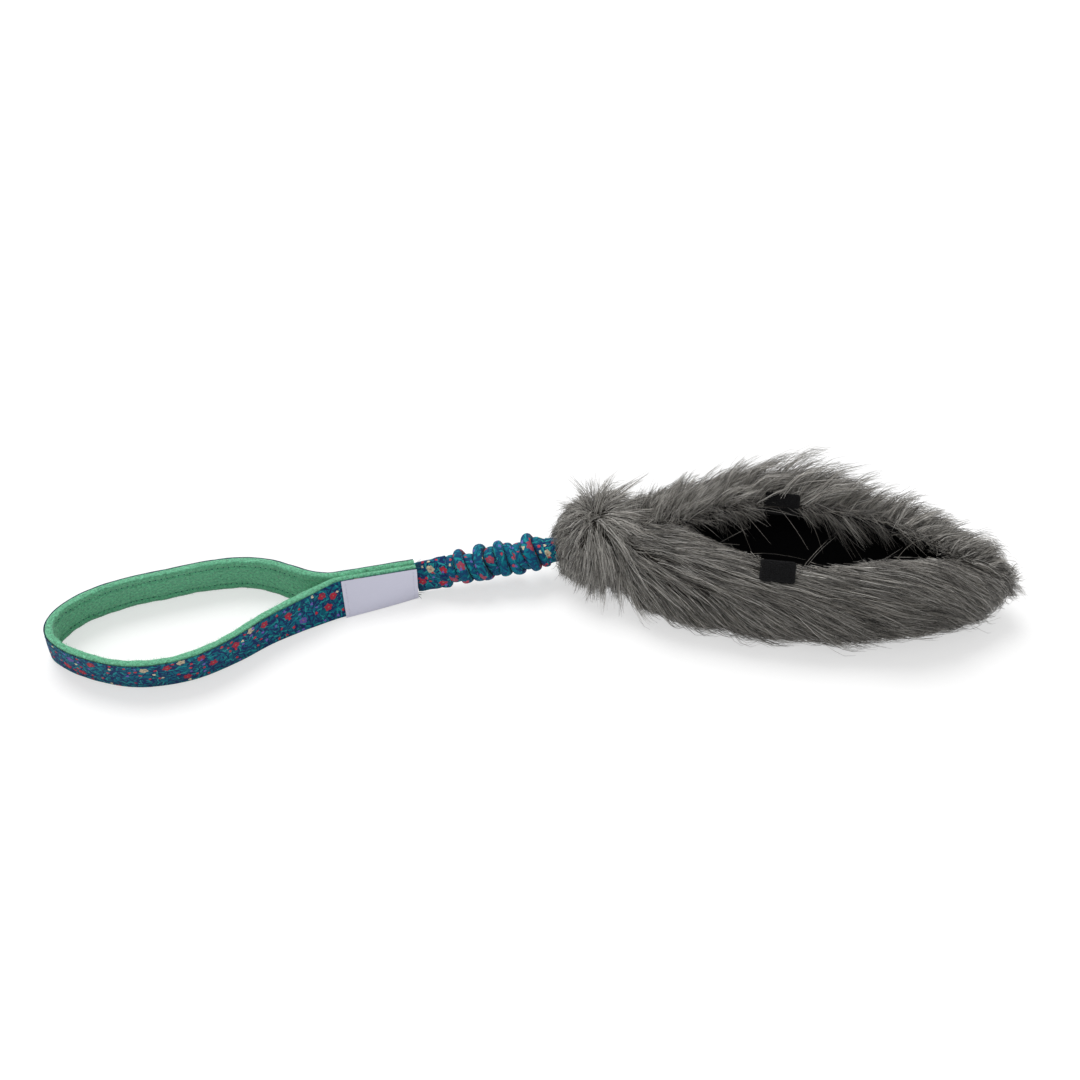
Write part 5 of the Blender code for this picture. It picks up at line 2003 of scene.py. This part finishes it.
class TUG_OT_closure_tabs(bpy.types.Operator):
    """Build the hook and loop tabs on both lips"""

    bl_idname = "tug.closure_tabs"
    bl_label = "Closure Tabs"

    def execute(self, context):
        values = pouch_values()
        roll = Matrix.Rotation(values.roll, 4, "X")
        thick = values.tab_thickness
        for word, side, seed in (("front", FRONT, 31), ("back", BACK, 37)):
            bm = box_form((values.tab_length, values.tab_height, thick * 0.8))
            corners = [edge for edge in bm.edges
                       if abs((edge.verts[0].co - edge.verts[1].co).z) > thick * 0.5]
            bevel(bm, corners, TAB_CORNER, 4)
            bevel(bm, bm.edges[:], TAB_EDGE, 2)
            self.hooks(bm, values, seed)
            bmesh.ops.transform(bm, matrix=roll @ tab_matrix(side), verts=bm.verts)
            piece = show("tape_" + word, bm, "loop_tape", 60.0)
            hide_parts(word + "_closure_tab")
            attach(piece, word + "_side")
        return {"FINISHED"}

    def hooks(self, bm, values, seed):
        """Short stubs all over the tape's face."""
        random = np.random.RandomState(seed)
        top = values.tab_thickness * 0.4
        columns, rows = (np.arange(STUB_INSET - size / 2.0, size / 2.0 - 0.001, STUB_PITCH)
                         for size in (values.tab_length, values.tab_height))
        for x in columns:
            for y in rows:
                shift = random.uniform(-0.0002, 0.0002, 2)
                size = Matrix.Diagonal((STUB_RADIUS, STUB_RADIUS,
                                        random.uniform(0.0003, 0.0006), 1.0))
                where = Matrix.Translation((x + shift[0], y + shift[1], top + 0.0002))
                bead(bm, where @ size)


# Stage


class TUG_OT_stage(bpy.types.Operator):
    """Set the floor, the light and the camera"""

    bl_idname = "tug.stage"
    bl_label = "Stage"

    def execute(self, context):
        scene = context.scene
        values = scene.tug_stage
        scene.view_settings.view_transform = "Standard"
        self.floor(values)
        self.light(scene, values)
        self.camera(scene, values)
        return {"FINISHED"}

    def floor(self, values):
        """A plain pale floor that keeps the toy's shadow."""
        bm = bmesh.new()
        bmesh.ops.create_grid(bm, x_segments=1, y_segments=1, size=values.floor_size / 2.0)
        mesh = bpy.data.meshes.new("floor")
        bm.to_mesh(mesh)
        bm.free()
        floor = bpy.data.objects.new("floor", mesh)
        bpy.context.scene.collection.objects.link(floor)
        finish = Finish("pale_floor")
        rays = finish.node("LightPath").outputs
        seen = finish.math("MAXIMUM", rays["Is Camera Ray"], rays["Is Glossy Ray"])
        seen = finish.math("MAXIMUM", seen, rays["Is Transmission Ray"])
        tone = values.floor_tone
        finish.set(Base_Color=finish.mix(seen, tone, scaled(tone, 0.45)),
                   Roughness=0.9, Specular_IOR_Level=0.0, Emission_Color=(1.0, 1.0, 1.0),
                   Emission_Strength=finish.math("MULTIPLY", seen, 0.57))
        mesh.materials.append(finish.material)

    def light(self, scene, values):
        """Even light from all round, and one broad key light from behind and above."""
        world = bpy.data.worlds.new("studio")
        world.use_nodes = True
        tree = world.node_tree
        plain = tree.nodes["Background"]
        plain.inputs["Strength"].default_value = values.world_strength
        white, rays, either, mixed = (tree.nodes.new("ShaderNode" + kind) for kind in (
            "Background", "LightPath", "Math", "MixShader"))
        either.operation = "MAXIMUM"
        for background in (plain, white):
            background.inputs["Color"].default_value = (1.0, 1.0, 1.0, 1.0)
        for start, end in (
                (rays.outputs["Is Camera Ray"], either.inputs[0]),
                (rays.outputs["Is Glossy Ray"], either.inputs[1]),
                (either.outputs[0], mixed.inputs[0]), (plain.outputs[0], mixed.inputs[1]),
                (white.outputs[0], mixed.inputs[2]),
                (mixed.outputs[0], tree.nodes["World Output"].inputs["Surface"])):
            tree.links.new(start, end)
        scene.world = world
        lamp = bpy.data.lights.new("key", "SUN")
        lamp.energy = values.key_energy
        lamp.angle = math.radians(35.0)
        key = bpy.data.objects.new("key", lamp)
        key.rotation_euler = (math.radians(-24.0), math.radians(-16.0), 0.0)
        scene.collection.objects.link(key)

    def camera(self, scene, values):
        """The camera at the photograph's angle."""
        lens = bpy.data.cameras.new("camera")
        lens.sensor_width = values.sensor
        lens.lens = values.sensor * values.focal_share
        camera = bpy.data.objects.new("camera", lens)
        azimuth, elevation = values.camera_azimuth, values.camera_elevation
        back = Vector((math.sin(azimuth) * math.cos(elevation),
                       -math.cos(azimuth) * math.cos(elevation), math.sin(elevation)))
        target = Vector((values.target_x, values.target_y, 0.0))
        camera.location = target + back * values.camera_distance
        camera.rotation_euler = (-back).to_track_quat("-Z", "Y").to_euler()
        scene.collection.objects.link(camera)
        scene.camera = camera


class TUG_PT_panel(bpy.types.Panel):
    """Lists the toy's operators"""

    bl_idname = "TUG_PT_panel"
    bl_label = "Bungee Tug Toy"
    bl_space_type = "VIEW_3D"
    bl_region_type = "UI"
    bl_category = "Tug Toy"

    def draw(self, context):
        for operator in OPERATORS:
            self.layout.operator(operator.bl_idname)
        for group in GROUPS:
            box = self.layout.box()
            box.label(text=GROUPS[group].__doc__)
            for name in GROUPS[group].__annotations__:
                box.prop(getattr(context.scene, group), name)


GROUPS = {
    "tug_loop": TugLoopProperties,
    "tug_bungee": TugBungeeProperties,
    "tug_pouch": TugPouchProperties,
    "tug_fur": TugFurProperties,
    "tug_stage": TugStageProperties,
}
OPERATORS = (TUG_OT_stage, TUG_OT_hand_loop, TUG_OT_label, TUG_OT_bungee, TUG_OT_pouch,
             TUG_OT_closure_tabs, TUG_OT_fur)


def register():
    """Register the classes and hang the properties on the scene."""
    for item in (*GROUPS.values(), *OPERATORS, TUG_PT_panel):
        bpy.utils.register_class(item)
    for name, group in GROUPS.items():
        setattr(bpy.types.Scene, name, bpy.props.PointerProperty(type=group))


def unregister():
    """Take the properties and the classes away again."""
    for name in GROUPS:
        delattr(bpy.types.Scene, name)
    for item in reversed((*GROUPS.values(), *OPERATORS, TUG_PT_panel)):
        bpy.utils.unregister_class(item)


def main():
    """Build every piece."""
    register()
    bpy.ops.tug.stage()
    bpy.ops.tug.hand_loop()
    bpy.ops.tug.label()
    bpy.ops.tug.bungee()
    bpy.ops.tug.pouch()
    bpy.ops.tug.closure_tabs()
    bpy.ops.tug.fur()


if __name__ == "__main__":
    main()
